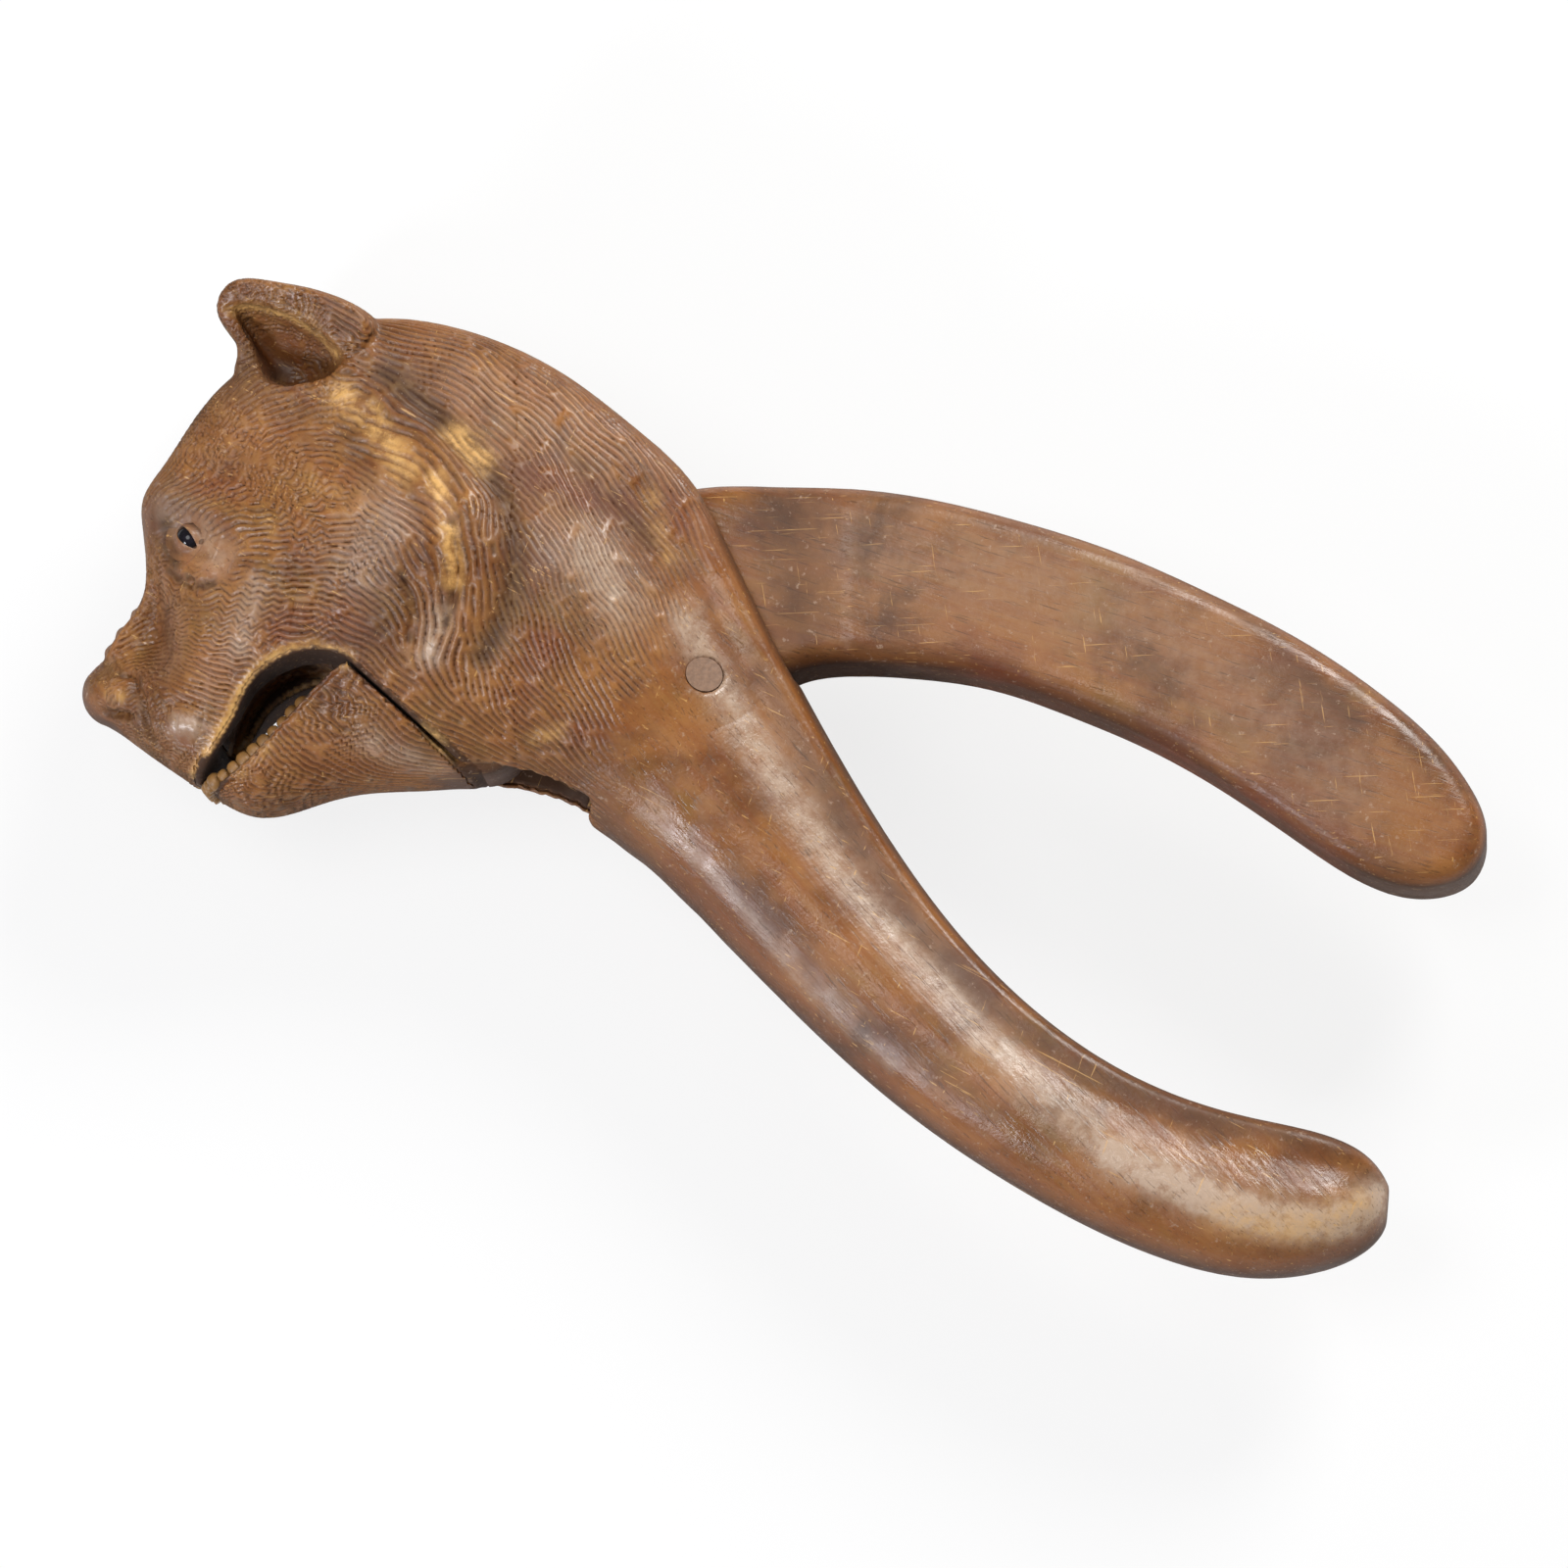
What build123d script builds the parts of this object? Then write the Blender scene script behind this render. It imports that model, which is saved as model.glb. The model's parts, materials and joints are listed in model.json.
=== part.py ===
from build123d import *
import os

# Carved wooden nutcracker shaped as a bear's head, lying on its right side.
# X runs from the nose to the handle ends, Y towards the crown and Z out of the left cheek.
# It is drawn about the middle of its profile and set down with its lowest point at Z zero.
# Lengths are in millimetres, and a share is a part of the length named beside it.

# Overall sizes
tool_length = 200.0
head_width = 50.0
handle_width = 21.0
overrun = 2.0

# Hinge pin, pressed into both cheeks, under a wooden plug on each side
hinge_share = (0.0, -0.0205)
pin_radius = 1.75
pin_running_clearance = 0.06
plug_radius = 2.5
plug_depth = 2.7

# Jaw lever
arm_thickness = 16.4
rear_handle_thickness = 16.8
arm_edge_radius = 3.4
mortise_clearance = 0.35
seat_gap = 0.4

# Hollows inside the mouth
palate_width = 15.0
tongue_hollow_width = 13.0

# Ears, from their root near the middle of the crown out to their rim, and the pit inside
ear_root_height = 5.0
ear_inner_height = 8.0
ear_middle_height = 13.0
ear_rim_height = 17.0
ear_outer_height = 19.0
ear_top_height = 24.0
ear_pit_height = 10.5
ear_mouth_height = 18.0

# Nose pad and its nostrils
nose_radius = 4.4
nose_half_width = 6.0
nostril_radius = 1.2
nostril_spacing = 9.0

# Glass eyes on wire stems
eye_radius = 2.1
eye_proud = 0.8
wire_radius = 0.5
wire_length = 7.0

# Stations of the head and the neck, from the nose tip to the root of the front handle.
# Each holds its bottom and top point, as shares of the length, and its half widths
# low, halfway and high on the section, as shares of the head's width.
head_station_shares = [
    ((-0.442, -0.034), (-0.443, -0.016), (0.060, 0.068, 0.055)),
    ((-0.437, -0.041), (-0.437, -0.004), (0.095, 0.104, 0.085)),
    ((-0.422, -0.050), (-0.428, 0.015), (0.130, 0.132, 0.100)),
    ((-0.402, -0.064), (-0.415, 0.033), (0.180, 0.168, 0.112)),
    ((-0.377, -0.081), (-0.405, 0.053), (0.215, 0.208, 0.135)),
    ((-0.350, -0.098), (-0.405, 0.083), (0.225, 0.255, 0.180)),
    ((-0.324, -0.108), (-0.408, 0.112), (0.225, 0.305, 0.250)),
    ((-0.283, -0.099), (-0.3924, 0.1428), (0.255, 0.375, 0.310)),
    ((-0.248, -0.0905), (-0.3562, 0.1943), (0.305, 0.440, 0.345)),
    ((-0.214, -0.0885), (-0.299, 0.231), (0.350, 0.485, 0.370)),
    ((-0.179, -0.0878), (-0.235, 0.246), (0.370, 0.500, 0.385)),
    ((-0.144, -0.0905), (-0.158, 0.231), (0.365, 0.488, 0.380)),
    ((-0.106, -0.102), (-0.095, 0.198), (0.345, 0.450, 0.355)),
    ((-0.081, -0.118), (-0.047, 0.160), (0.320, 0.405, 0.325)),
    ((-0.061, -0.134), (-0.012, 0.126), (0.290, 0.360, 0.290)),
    ((-0.045, -0.146), (0.026, 0.057), (0.262, 0.315, 0.258)),
    ((-0.022, -0.168), (0.061, -0.012), (0.236, 0.278, 0.232)),
]

# Stations of the front handle, with half widths as shares of the handle's width
handle_station_shares = [
    ((0.045, -0.236), (0.147, -0.156), (0.440, 0.535, 0.440)),
    ((0.129, -0.314), (0.223, -0.244), (0.415, 0.500, 0.415)),
    ((0.226, -0.381), (0.300, -0.299), (0.415, 0.500, 0.415)),
    ((0.336, -0.432), (0.385, -0.330), (0.405, 0.490, 0.405)),
    ((0.413, -0.441), (0.443, -0.344), (0.370, 0.450, 0.370)),
    ((0.460, -0.427), (0.470, -0.359), (0.270, 0.330, 0.270)),
    ((0.481, -0.404), (0.483, -0.378), (0.100, 0.120, 0.100)),
]

# Heights on a section where its three half widths stand, as shares of its chord
low_share = 0.2
middle_share = 0.5
high_share = 0.8

# Lip of the upper jaw from its front to the corner of the mouth, and the lower end of
# the straight seat that the jaw closes on behind that corner
lip_shares = [
    (-0.3720, -0.0960), (-0.3633, -0.0860), (-0.3493, -0.0680), (-0.3354, -0.0490),
    (-0.3230, -0.0275), (-0.3035, -0.0125), (-0.2780, -0.0055), (-0.2530, -0.0110),
]
seat_end_share = (-0.1820, -0.0725)

# Length of the cuts along the seat, as a share of the seat, so that they run out of the neck
seat_cut_share = 1.45

# Upper edge of the lower jaw, from its front to just short of the corner of the mouth
jaw_edge_shares = [
    (-0.3690, -0.0960), (-0.3514, -0.0910), (-0.3380, -0.0840), (-0.3220, -0.0710),
    (-0.2971, -0.0475),
]

# Height below the chin where the cuts of the mouth end
under_share = -0.1500

# Outlines of the hollows in the palate and between the teeth of the lower jaw
palate_shares = [
    (-0.3500, -0.0660), (-0.3420, -0.0340), (-0.3240, -0.0080), (-0.2970, 0.0060),
    (-0.2740, 0.0000), (-0.2640, -0.0160), (-0.3000, -0.0380),
]
tongue_hollow_shares = [
    (-0.3420, -0.0830), (-0.3330, -0.0900), (-0.3180, -0.0850), (-0.2930, -0.0620),
    (-0.2700, -0.0380), (-0.2640, -0.0140), (-0.3000, -0.0200),
]

# Outline of the arm, from inside the jaw over its top to the end of the rear handle and
# back along its underside
arm_shares = [
    (-0.2480, -0.0270), (-0.2280, -0.0150), (-0.1580, 0.0120), (-0.1160, 0.0350),
    (-0.0810, 0.0700), (-0.0500, 0.1040), (-0.0200, 0.1210), (0.0125, 0.1250),
    (0.0508, 0.1243), (0.0926, 0.1230), (0.1517, 0.1157), (0.2178, 0.0993), (0.2874, 0.0764),
    (0.3570, 0.0450), (0.4231, 0.0100), (0.4788, -0.0286), (0.5136, -0.0593),
    (0.5400, -0.0935), (0.5525, -0.1315), (0.5420, -0.1560), (0.5210, -0.1660),
    (0.4962, -0.1665), (0.4649, -0.1560), (0.4266, -0.1320), (0.3723, -0.0940),
    (0.3152, -0.0605), (0.2561, -0.0345), (0.1969, -0.0142), (0.1413, -0.0060),
    (0.0926, -0.0045), (0.0600, -0.0110), (0.0200, -0.0390), (-0.0100, -0.0460),
    (-0.0466, -0.0460), (-0.0884, -0.0440), (-0.1200, -0.0540), (-0.1420, -0.0760),
    (-0.1640, -0.0840),
]
arm_root_shares = [(-0.2000, -0.0840), (-0.2350, -0.0700)]

# Where the rear handle begins, clear of the neck
rear_handle_start_share = 0.1000

# Mortise through the head: its roof from behind the nape down to the jaw's seat,
# and its floor from below the neck back out under the rear handle
mortise_roof_shares = [
    (0.0200, 0.1760), (-0.0430, 0.1390), (-0.0710, 0.1220), (-0.0990, 0.0970),
    (-0.1160, 0.0600), (-0.1340, 0.0360), (-0.1790, 0.0150), (-0.2300, -0.0030),
    (-0.2560, -0.0180),
]
mortise_floor_shares = [
    (-0.0900, -0.1300), (-0.0850, -0.1110), (-0.0450, -0.0825), (-0.0100, -0.0615),
    (0.0100, -0.0520), (0.0350, -0.0370), (0.0650, -0.0170), (0.1000, 0.0000),
]
mortise_corner_shares = [(-0.2800, -0.0400), (-0.2000, -0.1500)]

# Outline of an ear, the point it narrows about, and its size at each of its heights, as
# shares of that outline
ear_outline_shares = [
    (-0.3490, 0.2505), (-0.3400, 0.2620), (-0.3100, 0.2622), (-0.2718, 0.2538),
    (-0.2350, 0.2275), (-0.2620, 0.1980), (-0.3050, 0.1860), (-0.3345, 0.1930),
    (-0.3355, 0.2200),
]
ear_centre_share = (-0.3000, 0.2150)
ear_root_share = 0.72
ear_inner_share = 0.97
ear_middle_share = 1.03
ear_outer_share = 0.97
ear_top_share = 0.78
ear_heading = Vector(-0.20, -0.50, 0.84)

# Outline of the hollow of an ear where it opens, the point it narrows to, and its size at
# the opening and at the pit, as shares of that outline
ear_hollow_shares = [
    (-0.3360, 0.2450), (-0.3150, 0.2430), (-0.2930, 0.2340), (-0.2700, 0.2200),
    (-0.2580, 0.2030), (-0.2760, 0.1900), (-0.3000, 0.1870), (-0.3190, 0.1920),
    (-0.3260, 0.2080), (-0.3320, 0.2270),
]
ear_pit_place_share = (-0.3030, 0.1980)
ear_mouth_share = 1.0
ear_pit_share = 0.28

# Places of the nose pad and the eyes
nose_share = (-0.4308, -0.0210)
nostril_share = (-0.4330, -0.0350)
eye_share = (-0.3720, 0.0800)
eye_heading = Vector(-0.62, 0.16, 0.77)


def place(share):
    """Turn a point given as shares of the length into one in millimetres."""
    return (share[0] * tool_length, share[1] * tool_length)


def places(shares):
    """Turn a list of points given as shares of the length into millimetres."""
    return [place(share) for share in shares]


def section_plane(bottom, top):
    """Plane across the profile, with its x along the chord and its y along Z."""
    start = Vector(*place(bottom))
    chord = Vector(*place(top)) - start
    return Plane(origin=start, x_dir=chord, z_dir=chord.cross(Vector(0, 0, 1)))


def half_section(bottom, top, widths, width):
    """Left half of the carved body's section at one station."""
    chord = (Vector(*place(top)) - Vector(*place(bottom))).length
    low, middle, high = widths
    with BuildSketch(section_plane(bottom, top)) as section:
        with BuildLine():
            Spline(
                (0, 0),
                (chord * low_share, low * width),
                (chord * middle_share, middle * width),
                (chord * high_share, high * width),
                (chord, 0),
                tangents=((0, 1), (0, -1)),
            )
            Line((chord, 0), (0, 0))
        make_face()
    return section.sketch


def ear_outline(shares, centre_share, share, height):
    """A closed outline of the left ear at a height, grown or shrunk about a centre."""
    centre = Vector(*place(centre_share))
    corners = [centre + (Vector(*point) - centre) * share for point in places(shares)]
    with BuildSketch(Plane.XY.offset(height)) as outline:
        with BuildLine():
            Spline(*corners, periodic=True)
        make_face()
    return outline.sketch


def arm_blank(thickness):
    """The arm and the rear handle in one piece, with rounded edges, at a thickness."""
    with BuildPart() as arm:
        with BuildSketch():
            with BuildLine():
                outline = Spline(*places(arm_shares))
                Polyline(outline @ 1, *places(arm_root_shares), outline @ 0)
            make_face()
        extrude(amount=thickness / 2, both=True)
        sides = arm.faces().filter_by(Axis.Z)
        long_edges = [side.edges().sort_by(SortBy.LENGTH)[-1] for side in sides]
        fillet(long_edges, arm_edge_radius)
    return arm.part


hinge = Vector(*place(hinge_share))
mortise_width = arm_thickness + 2 * mortise_clearance
mouth_corner = Vector(*place(lip_shares[-1]))
seat_run = Vector(*place(seat_end_share)) - mouth_corner
seat_along = seat_run.normalized()
seat_out = Vector(seat_along.Y, -seat_along.X)
seat_reach = seat_run.length * seat_cut_share
under = under_share * tool_length
rear_handle_start = rear_handle_start_share * tool_length

# The carved body before it is parted into two levers
with BuildPart() as blank:
    for bottom, top, widths in head_station_shares:
        add(half_section(bottom, top, widths, head_width))
    for bottom, top, widths in handle_station_shares:
        add(half_section(bottom, top, widths, handle_width))
    loft()
    mirror(about=Plane.XY)

# The pin ends below the cheeks by the depth of a plug
cheek_ray = Axis(hinge, (0, 0, 1))
cheek_height = blank.part.find_intersection_points(cheek_ray)[-1][0].Z
pin_half_length = cheek_height - plug_depth

# Everything under the upper lip and in front of the seat belongs to the mouth and jaw
with BuildSketch() as mouth_region:
    with BuildLine():
        lip = Spline(*places(lip_shares))
        seat = Line(mouth_corner, mouth_corner + seat_along * seat_reach)
        Polyline(seat @ 1, ((seat @ 1).X, under), ((lip @ 0).X, under), lip @ 0)
    make_face()

with BuildSketch() as jaw_region:
    with BuildLine():
        jaw_corner = mouth_corner + seat_out * seat_gap
        edge = Spline(*places(jaw_edge_shares), jaw_corner)
        back = Line(jaw_corner, jaw_corner + seat_along * seat_reach)
        Polyline(back @ 1, ((back @ 1).X, under), ((edge @ 0).X, under), edge @ 0)
    make_face()

with BuildSketch() as mortise_region:
    with BuildLine():
        roof = Spline(*places(mortise_roof_shares))
        floor = Spline(*places(mortise_floor_shares))
        Polyline(roof @ 1, *places(mortise_corner_shares), floor @ 0)
        Polyline(floor @ 1, ((floor @ 1).X, (roof @ 0).Y), roof @ 0)
    make_face()

# Nose pad, a rounded bar across the tip of the muzzle
nose_plane = Plane(origin=place(nose_share), x_dir=(1, 0, 0), z_dir=(0, -1, 0))
with BuildPart() as nose_pad:
    with BuildSketch(nose_plane):
        with BuildLine():
            rim = EllipticalCenterArc(
                (0, 0), nose_radius, nose_half_width, start_angle=-90, arc_size=180
            )
            Line(rim @ 1, rim @ 0)
        make_face()
    revolve(axis=Axis(place(nose_share), (0, 0, 1)))

# Left glass eye, seated on the carved surface where the face looks out, and its wire stem
eye_ray = Axis((*place(eye_share), 0), (0, 0, 1))
eye_point = blank.part.find_intersection_points(eye_ray)[-1][0]
eye_out = eye_heading.normalized()
eye_plane = Plane(origin=eye_point - eye_out * (eye_radius - eye_proud), z_dir=eye_out)
inwards = (Align.CENTER, Align.CENTER, Align.MAX)

with BuildPart(eye_plane) as eye_wire:
    Cylinder(wire_radius, eye_radius + wire_length, align=inwards)

with BuildPart(eye_plane) as glass_eye:
    Sphere(eye_radius)
    Cylinder(wire_radius, eye_radius + overrun, align=inwards, mode=Mode.SUBTRACT)

# Left ear, cut off on a slope so that it opens outwards and down, and the hollow inside it
ear_face = Plane(origin=(*place(ear_centre_share), ear_rim_height), z_dir=ear_heading)
with BuildPart() as ear:
    loft([
        ear_outline(ear_outline_shares, ear_centre_share, ear_root_share, ear_root_height),
        ear_outline(ear_outline_shares, ear_centre_share, ear_inner_share, ear_inner_height),
        ear_outline(ear_outline_shares, ear_centre_share, ear_middle_share, ear_middle_height),
        ear_outline(ear_outline_shares, ear_centre_share, ear_outer_share, ear_outer_height),
        ear_outline(ear_outline_shares, ear_centre_share, ear_top_share, ear_top_height),
    ])
    split(bisect_by=ear_face, keep=Keep.BOTTOM)

with BuildPart() as ear_hollow:
    loft([
        ear_outline(ear_hollow_shares, ear_pit_place_share, ear_pit_share, ear_pit_height),
        ear_outline(ear_hollow_shares, ear_pit_place_share, ear_mouth_share, ear_mouth_height),
        ear_outline(ear_hollow_shares, ear_pit_place_share, ear_mouth_share, ear_top_height),
    ])

# Upper jaw, skull, neck and front handle, carved from one piece
with BuildPart() as head_lever:
    add(blank.part)
    extrude(mouth_region.sketch, head_width, both=True, mode=Mode.SUBTRACT)
    extrude(mortise_region.sketch, mortise_width / 2, both=True, mode=Mode.SUBTRACT)
    with BuildSketch():
        with BuildLine():
            Spline(*places(palate_shares), periodic=True)
        make_face()
    extrude(amount=palate_width / 2, both=True, mode=Mode.SUBTRACT)
    with Locations(hinge):
        Cylinder(pin_radius, 2 * pin_half_length, mode=Mode.SUBTRACT)
    for side in (1, -1):
        with Locations(hinge + Vector(0, 0, side * (pin_half_length + head_width / 2))):
            Cylinder(plug_radius, head_width, mode=Mode.SUBTRACT)
        with Locations(Vector(*place(nostril_share)) + Vector(0, 0, side * nostril_spacing / 2)):
            Sphere(nostril_radius, mode=Mode.SUBTRACT)
    add(nose_pad.part)
    for piece in (eye_wire.part, glass_eye.part):
        add(piece, mode=Mode.SUBTRACT)
        add(piece.mirror(Plane.XY), mode=Mode.SUBTRACT)
    for piece, mode in ((ear.part, Mode.ADD), (ear_hollow.part, Mode.SUBTRACT)):
        add(piece, mode=mode)
        add(piece.mirror(Plane.XY), mode=mode)

# The arm of the jaw lever crosses the head in the mortise, and is planed thinner there than
# the rear handle that it ends in
rear_handle_plane = Plane.YZ.offset(rear_handle_start)
with BuildPart() as jaw_arm:
    add(arm_blank(arm_thickness))
    split(bisect_by=rear_handle_plane, keep=Keep.BOTTOM)

with BuildPart() as rear_handle:
    add(arm_blank(rear_handle_thickness))
    split(bisect_by=rear_handle_plane, keep=Keep.TOP)

# Lower jaw with its arm and the rear handle
with BuildPart() as jaw_lever:
    add(blank.part)
    extrude(jaw_region.sketch, head_width, both=True, mode=Mode.INTERSECT)
    with BuildSketch():
        with BuildLine():
            Spline(*places(tongue_hollow_shares), periodic=True)
        make_face()
    extrude(amount=tongue_hollow_width / 2, both=True, mode=Mode.SUBTRACT)
    add(jaw_arm.part)
    with Locations(hinge):
        Cylinder(pin_radius + pin_running_clearance, 2 * arm_thickness, mode=Mode.SUBTRACT)
    add(rear_handle.part)

# Hinge pin and the plugs that cover its ends
with BuildPart() as hinge_pin:
    with Locations(hinge):
        Cylinder(pin_radius, 2 * pin_half_length)

with BuildPart() as plug:
    with Locations(hinge + Vector(0, 0, pin_half_length)):
        Cylinder(plug_radius, head_width, align=(Align.CENTER, Align.CENTER, Align.MIN))
    add(blank.part, mode=Mode.INTERSECT)

pieces = {
    "head_lever": head_lever.part,
    "jaw_lever": jaw_lever.part,
    "hinge_pin": hinge_pin.part,
    "plug_left": plug.part,
    "plug_right": plug.part.mirror(Plane.XY),
    "eye_left": glass_eye.part,
    "eye_right": glass_eye.part.mirror(Plane.XY),
    "eye_wire_left": eye_wire.part,
    "eye_wire_right": eye_wire.part.mirror(Plane.XY),
}

# Set the nutcracker down: the middle of its footprint becomes the origin
whole = head_lever.part.bounding_box()
for piece in pieces.values():
    whole = whole.add(piece.bounding_box())
footing = Vector(-whole.center().X, -whole.center().Y, -whole.min.Z)
print("hinge", hinge + footing, "size", whole.size)

os.makedirs("parts", exist_ok=True)
for name, piece in pieces.items():
    placed = piece.moved(Location(footing))
    placed.label = name
    export_step(placed, f"parts/{name}.step")
    print(name, placed.is_valid, len(placed.solids()), round(placed.volume, 1))
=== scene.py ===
import json
import math

import bmesh
import bpy
import numpy as np
from mathutils import Matrix, Vector
from mathutils.bvhtree import BVHTree
from mathutils.kdtree import KDTree


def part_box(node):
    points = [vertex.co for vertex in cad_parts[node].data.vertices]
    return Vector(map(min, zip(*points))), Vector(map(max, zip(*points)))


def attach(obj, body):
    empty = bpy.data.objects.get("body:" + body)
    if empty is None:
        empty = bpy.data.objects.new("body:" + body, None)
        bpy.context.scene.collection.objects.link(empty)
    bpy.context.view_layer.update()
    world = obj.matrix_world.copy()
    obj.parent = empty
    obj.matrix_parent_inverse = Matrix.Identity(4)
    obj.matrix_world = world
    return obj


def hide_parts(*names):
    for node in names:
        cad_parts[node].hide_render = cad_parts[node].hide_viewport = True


bl_info = {
    "name": "Carved bear nutcracker",
    "version": (1, 0, 0),
    "blender": (4, 5, 0),
    "location": "View3D > Sidebar > Nutcracker",
    "description": "Carves and finishes a wooden bear's-head nutcracker round its solid frame",
    "category": "Object",
}

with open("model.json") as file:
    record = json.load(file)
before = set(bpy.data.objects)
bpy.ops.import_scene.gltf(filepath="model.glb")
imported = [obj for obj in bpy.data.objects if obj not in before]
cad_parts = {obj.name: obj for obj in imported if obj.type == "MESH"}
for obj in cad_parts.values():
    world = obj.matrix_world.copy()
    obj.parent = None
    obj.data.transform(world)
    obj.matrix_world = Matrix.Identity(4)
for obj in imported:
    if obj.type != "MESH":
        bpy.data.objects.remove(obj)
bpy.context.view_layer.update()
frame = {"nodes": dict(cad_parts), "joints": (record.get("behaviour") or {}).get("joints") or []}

MM = 0.001
HINGE = Vector(frame["joints"][0]["pos_m"])

# Places on the carving are millimetres from the hinge: x towards the handle ends, y towards
# the crown and z out of the cheeks. A place stands for both cheeks, which are carved alike.

# Raised and cut forms of the face: points, width and height of each
FACE_FORMS = {
    "brow": ([(-79, 26, 6), (-76.4, 26, 12), (-72.6, 24.2, 15.8), (-67.8, 22.2, 18.4),
              (-62.5, 20.4, 20.4)], 1.7, 1.25),
    "brow_furrow": ([(-82, 30, 0), (-79, 36, 0), (-74, 42, 0)], 1.7, -0.7),
    "brow_top_dip": ([(-76, 30.5, 14), (-70, 28.5, 17.5), (-63, 26, 20)], 2.2, -0.45),
    "eye_socket": ([(-75, 20.6, 14.6), (-72, 17.6, 16.6)], 2.7, -0.8),
    "inner_corner": ([(-77.4, 22, 11.5), (-76.6, 18, 12.5), (-75.6, 16.4, 13.6)], 1.5, -0.7),
    "under_eye_fold": ([(-76, 17.8, 13), (-74.6, 15.4, 14.8), (-71.6, 14, 16.6),
                        (-68.6, 15, 18.2)], 1, 0.45),
    "under_eye_pit": ([(-73.6, 14, 15.6), (-73, 13, 15.8)], 0.8, -0.75),
    "under_eye_crease": ([(-76.8, 15.6, 13), (-73.4, 12.8, 15.4),
                          (-69.8, 12.6, 17.4)], 0.75, -0.35),
    "eye_plane": ([(-70, 17.4, 17.2), (-66.6, 15.4, 18.8)], 2.8, -0.35),
    "eye_plane_edge": ([(-66.6, 19.6, 19.4), (-63.6, 16, 19.6), (-65.6, 12, 18.6)], 1.3, 0.12),
    "muzzle_fold": ([(-60.6, 13.6, 19.6), (-63.1, 9.3, 18.4), (-65.4, 5.2, 15.8)], 1.7, 0.55),
    "cheek_bone": ([(-64, 12, 19.6), (-57, 10.5, 21.8)], 3.2, 0.5),
    "muzzle_hollow": ([(-80.5, 8, 9.5), (-77, 2, 11)], 2.6, -0.5),
    "nose_wing": ([(-86.2, -0.8, 5), (-83.8, -1.4, 6.6)], 1.3, 0.9),
    "nose_comma": ([(-84.6, 2, 6.2), (-82.4, 1.2, 7.2), (-81.9, -1.6, 7.6)], 0.65, -0.95),
    "nostril": ([(-86.2, -3.5, 5.4), (-84.4, -4.1, 6.6), (-82.4, -4.5, 7.4)], 0.7, -1.3),
    "nose_back_groove": ([(-81.6, 0.6, 7.6), (-80.7, -3.1, 8), (-80.2, -5.6, 8.2),
                          (-79, -8.6, 7.6), (-77.6, -10.9, 7)], 0.8, -1),
    "lip_bulge": ([(-75.6, -6.2, 10), (-73.7, -6.5, 10.6), (-71.8, -7.2, 10.8)], 1.9, 0.75),
    "lip_bulge_dip": ([(-77.6, -5, 9.2), (-75.8, -3.4, 10.2), (-72, -3.8, 11.2)], 0.8, -0.5),
    "lip_edge": ([(-77.9, -10.6, 6.2), (-74.6, -12, 7.6), (-71.6, -11, 8.6), (-69, -6.8, 9.6),
                  (-66, -1.6, 12), (-61.2, 2.8, 15.6), (-55.6, 4.2, 18.6)], 0.9, 0.5),
    "ruff": ([(-51.2, 43, 18.7), (-42.5, 36.8, 19.9), (-34.9, 27.5, 22.8), (-31.1, 18.6, 24.5),
              (-31.7, 10.4, 23.5), (-35.4, 4, 20.8), (-39.2, -1.1, 18.1)], 2, 0.9),
    "ruff_valley": ([(-45.5, 43, 19), (-37.5, 35.5, 21), (-29.5, 26.5, 23), (-26.2, 17.5, 23.6),
                     (-27, 9, 22.5), (-31, 1.5, 20)], 1.9, -1.1),
    "cheek_lock": ([(-37.6, 19, 24), (-36.6, 13, 23.6), (-38.2, 7, 22)], 1.2, 0.8),
    "cheek_lock_edge": ([(-35.2, 20, 24), (-34.2, 13, 23.6), (-36, 6, 22)], 0.8, -1),
    "cheek_cleft": ([(-42.2, 12.6, 24), (-40.6, 8, 23), (-41.4, 4, 21)], 0.7, -0.8),
    "bridge": ([(-80.8, 14, 0), (-83.6, 9.5, 0), (-86.4, 5, 0), (-88.6, 1.8, 0)], 2.4, 0.65),
    "ear_top": ([(-68, 55, 11), (-62.5, 55.5, 12.5), (-56, 53, 14)], 2.6, -1),
    "ear_front_foot": ([(-67.5, 46, 12), (-67, 43, 13)], 1.6, 0.45),
    "cheek_wave": ([(-58, 32, 21), (-50, 27, 23), (-44.5, 19, 24.4), (-43, 10, 23.4)], 2.6, 0.4),
    "cheek_wave_valley": ([(-52, 33, 21), (-44, 27.5, 23), (-39.6, 19, 24.4),
                           (-39, 10, 23.4)], 1.6, -0.7),
    "neck_fold": ([(-24, 31, 19), (-20, 20, 21), (-19, 8, 20.5), (-23, -4, 19)], 2.6, 0.5),
}

# Heights of the wrinkles across the bridge of the muzzle
BRIDGE_WRINKLES = [14.4, 11.4, 8.6, 6]
WRINKLE_HALF_WIDTH = 6

# Edge of the upper lip back to the corner of the mouth, the seat behind it and the jaw's edge
LIP_LINE = [(-74.4, -15.1), (-72.7, -13.1), (-69.9, -9.5), (-67.1, -5.7), (-64.6, -1.4),
            (-60.7, 1.6), (-55.6, 3), (-50.6, 1.9)]
SEAT_LINE = [(-50.6, 1.9), (-30, -15.9)]
JAW_LINE = [(-73.8, -15.1), (-70.3, -14.1), (-67.6, -12.7), (-64.4, -10.1), (-59.4, -5.4),
            (-50.9, 1.6)]

# Smooth places that carry no fur: middle and reach of each
SMOOTH_PLACES = [
    ((-73.4, 19.2, 15), 4.2),
    ((-77.6, 23, 11), 4.2),
    ((-69, 16.2, 18.2), 3.8),
    ((-62, 47, 12.5), 4),
    ((-87.2, -1.8, 0), 6.4),
    ((-74.3, -6.9, 10.6), 3.2),
]

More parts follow.
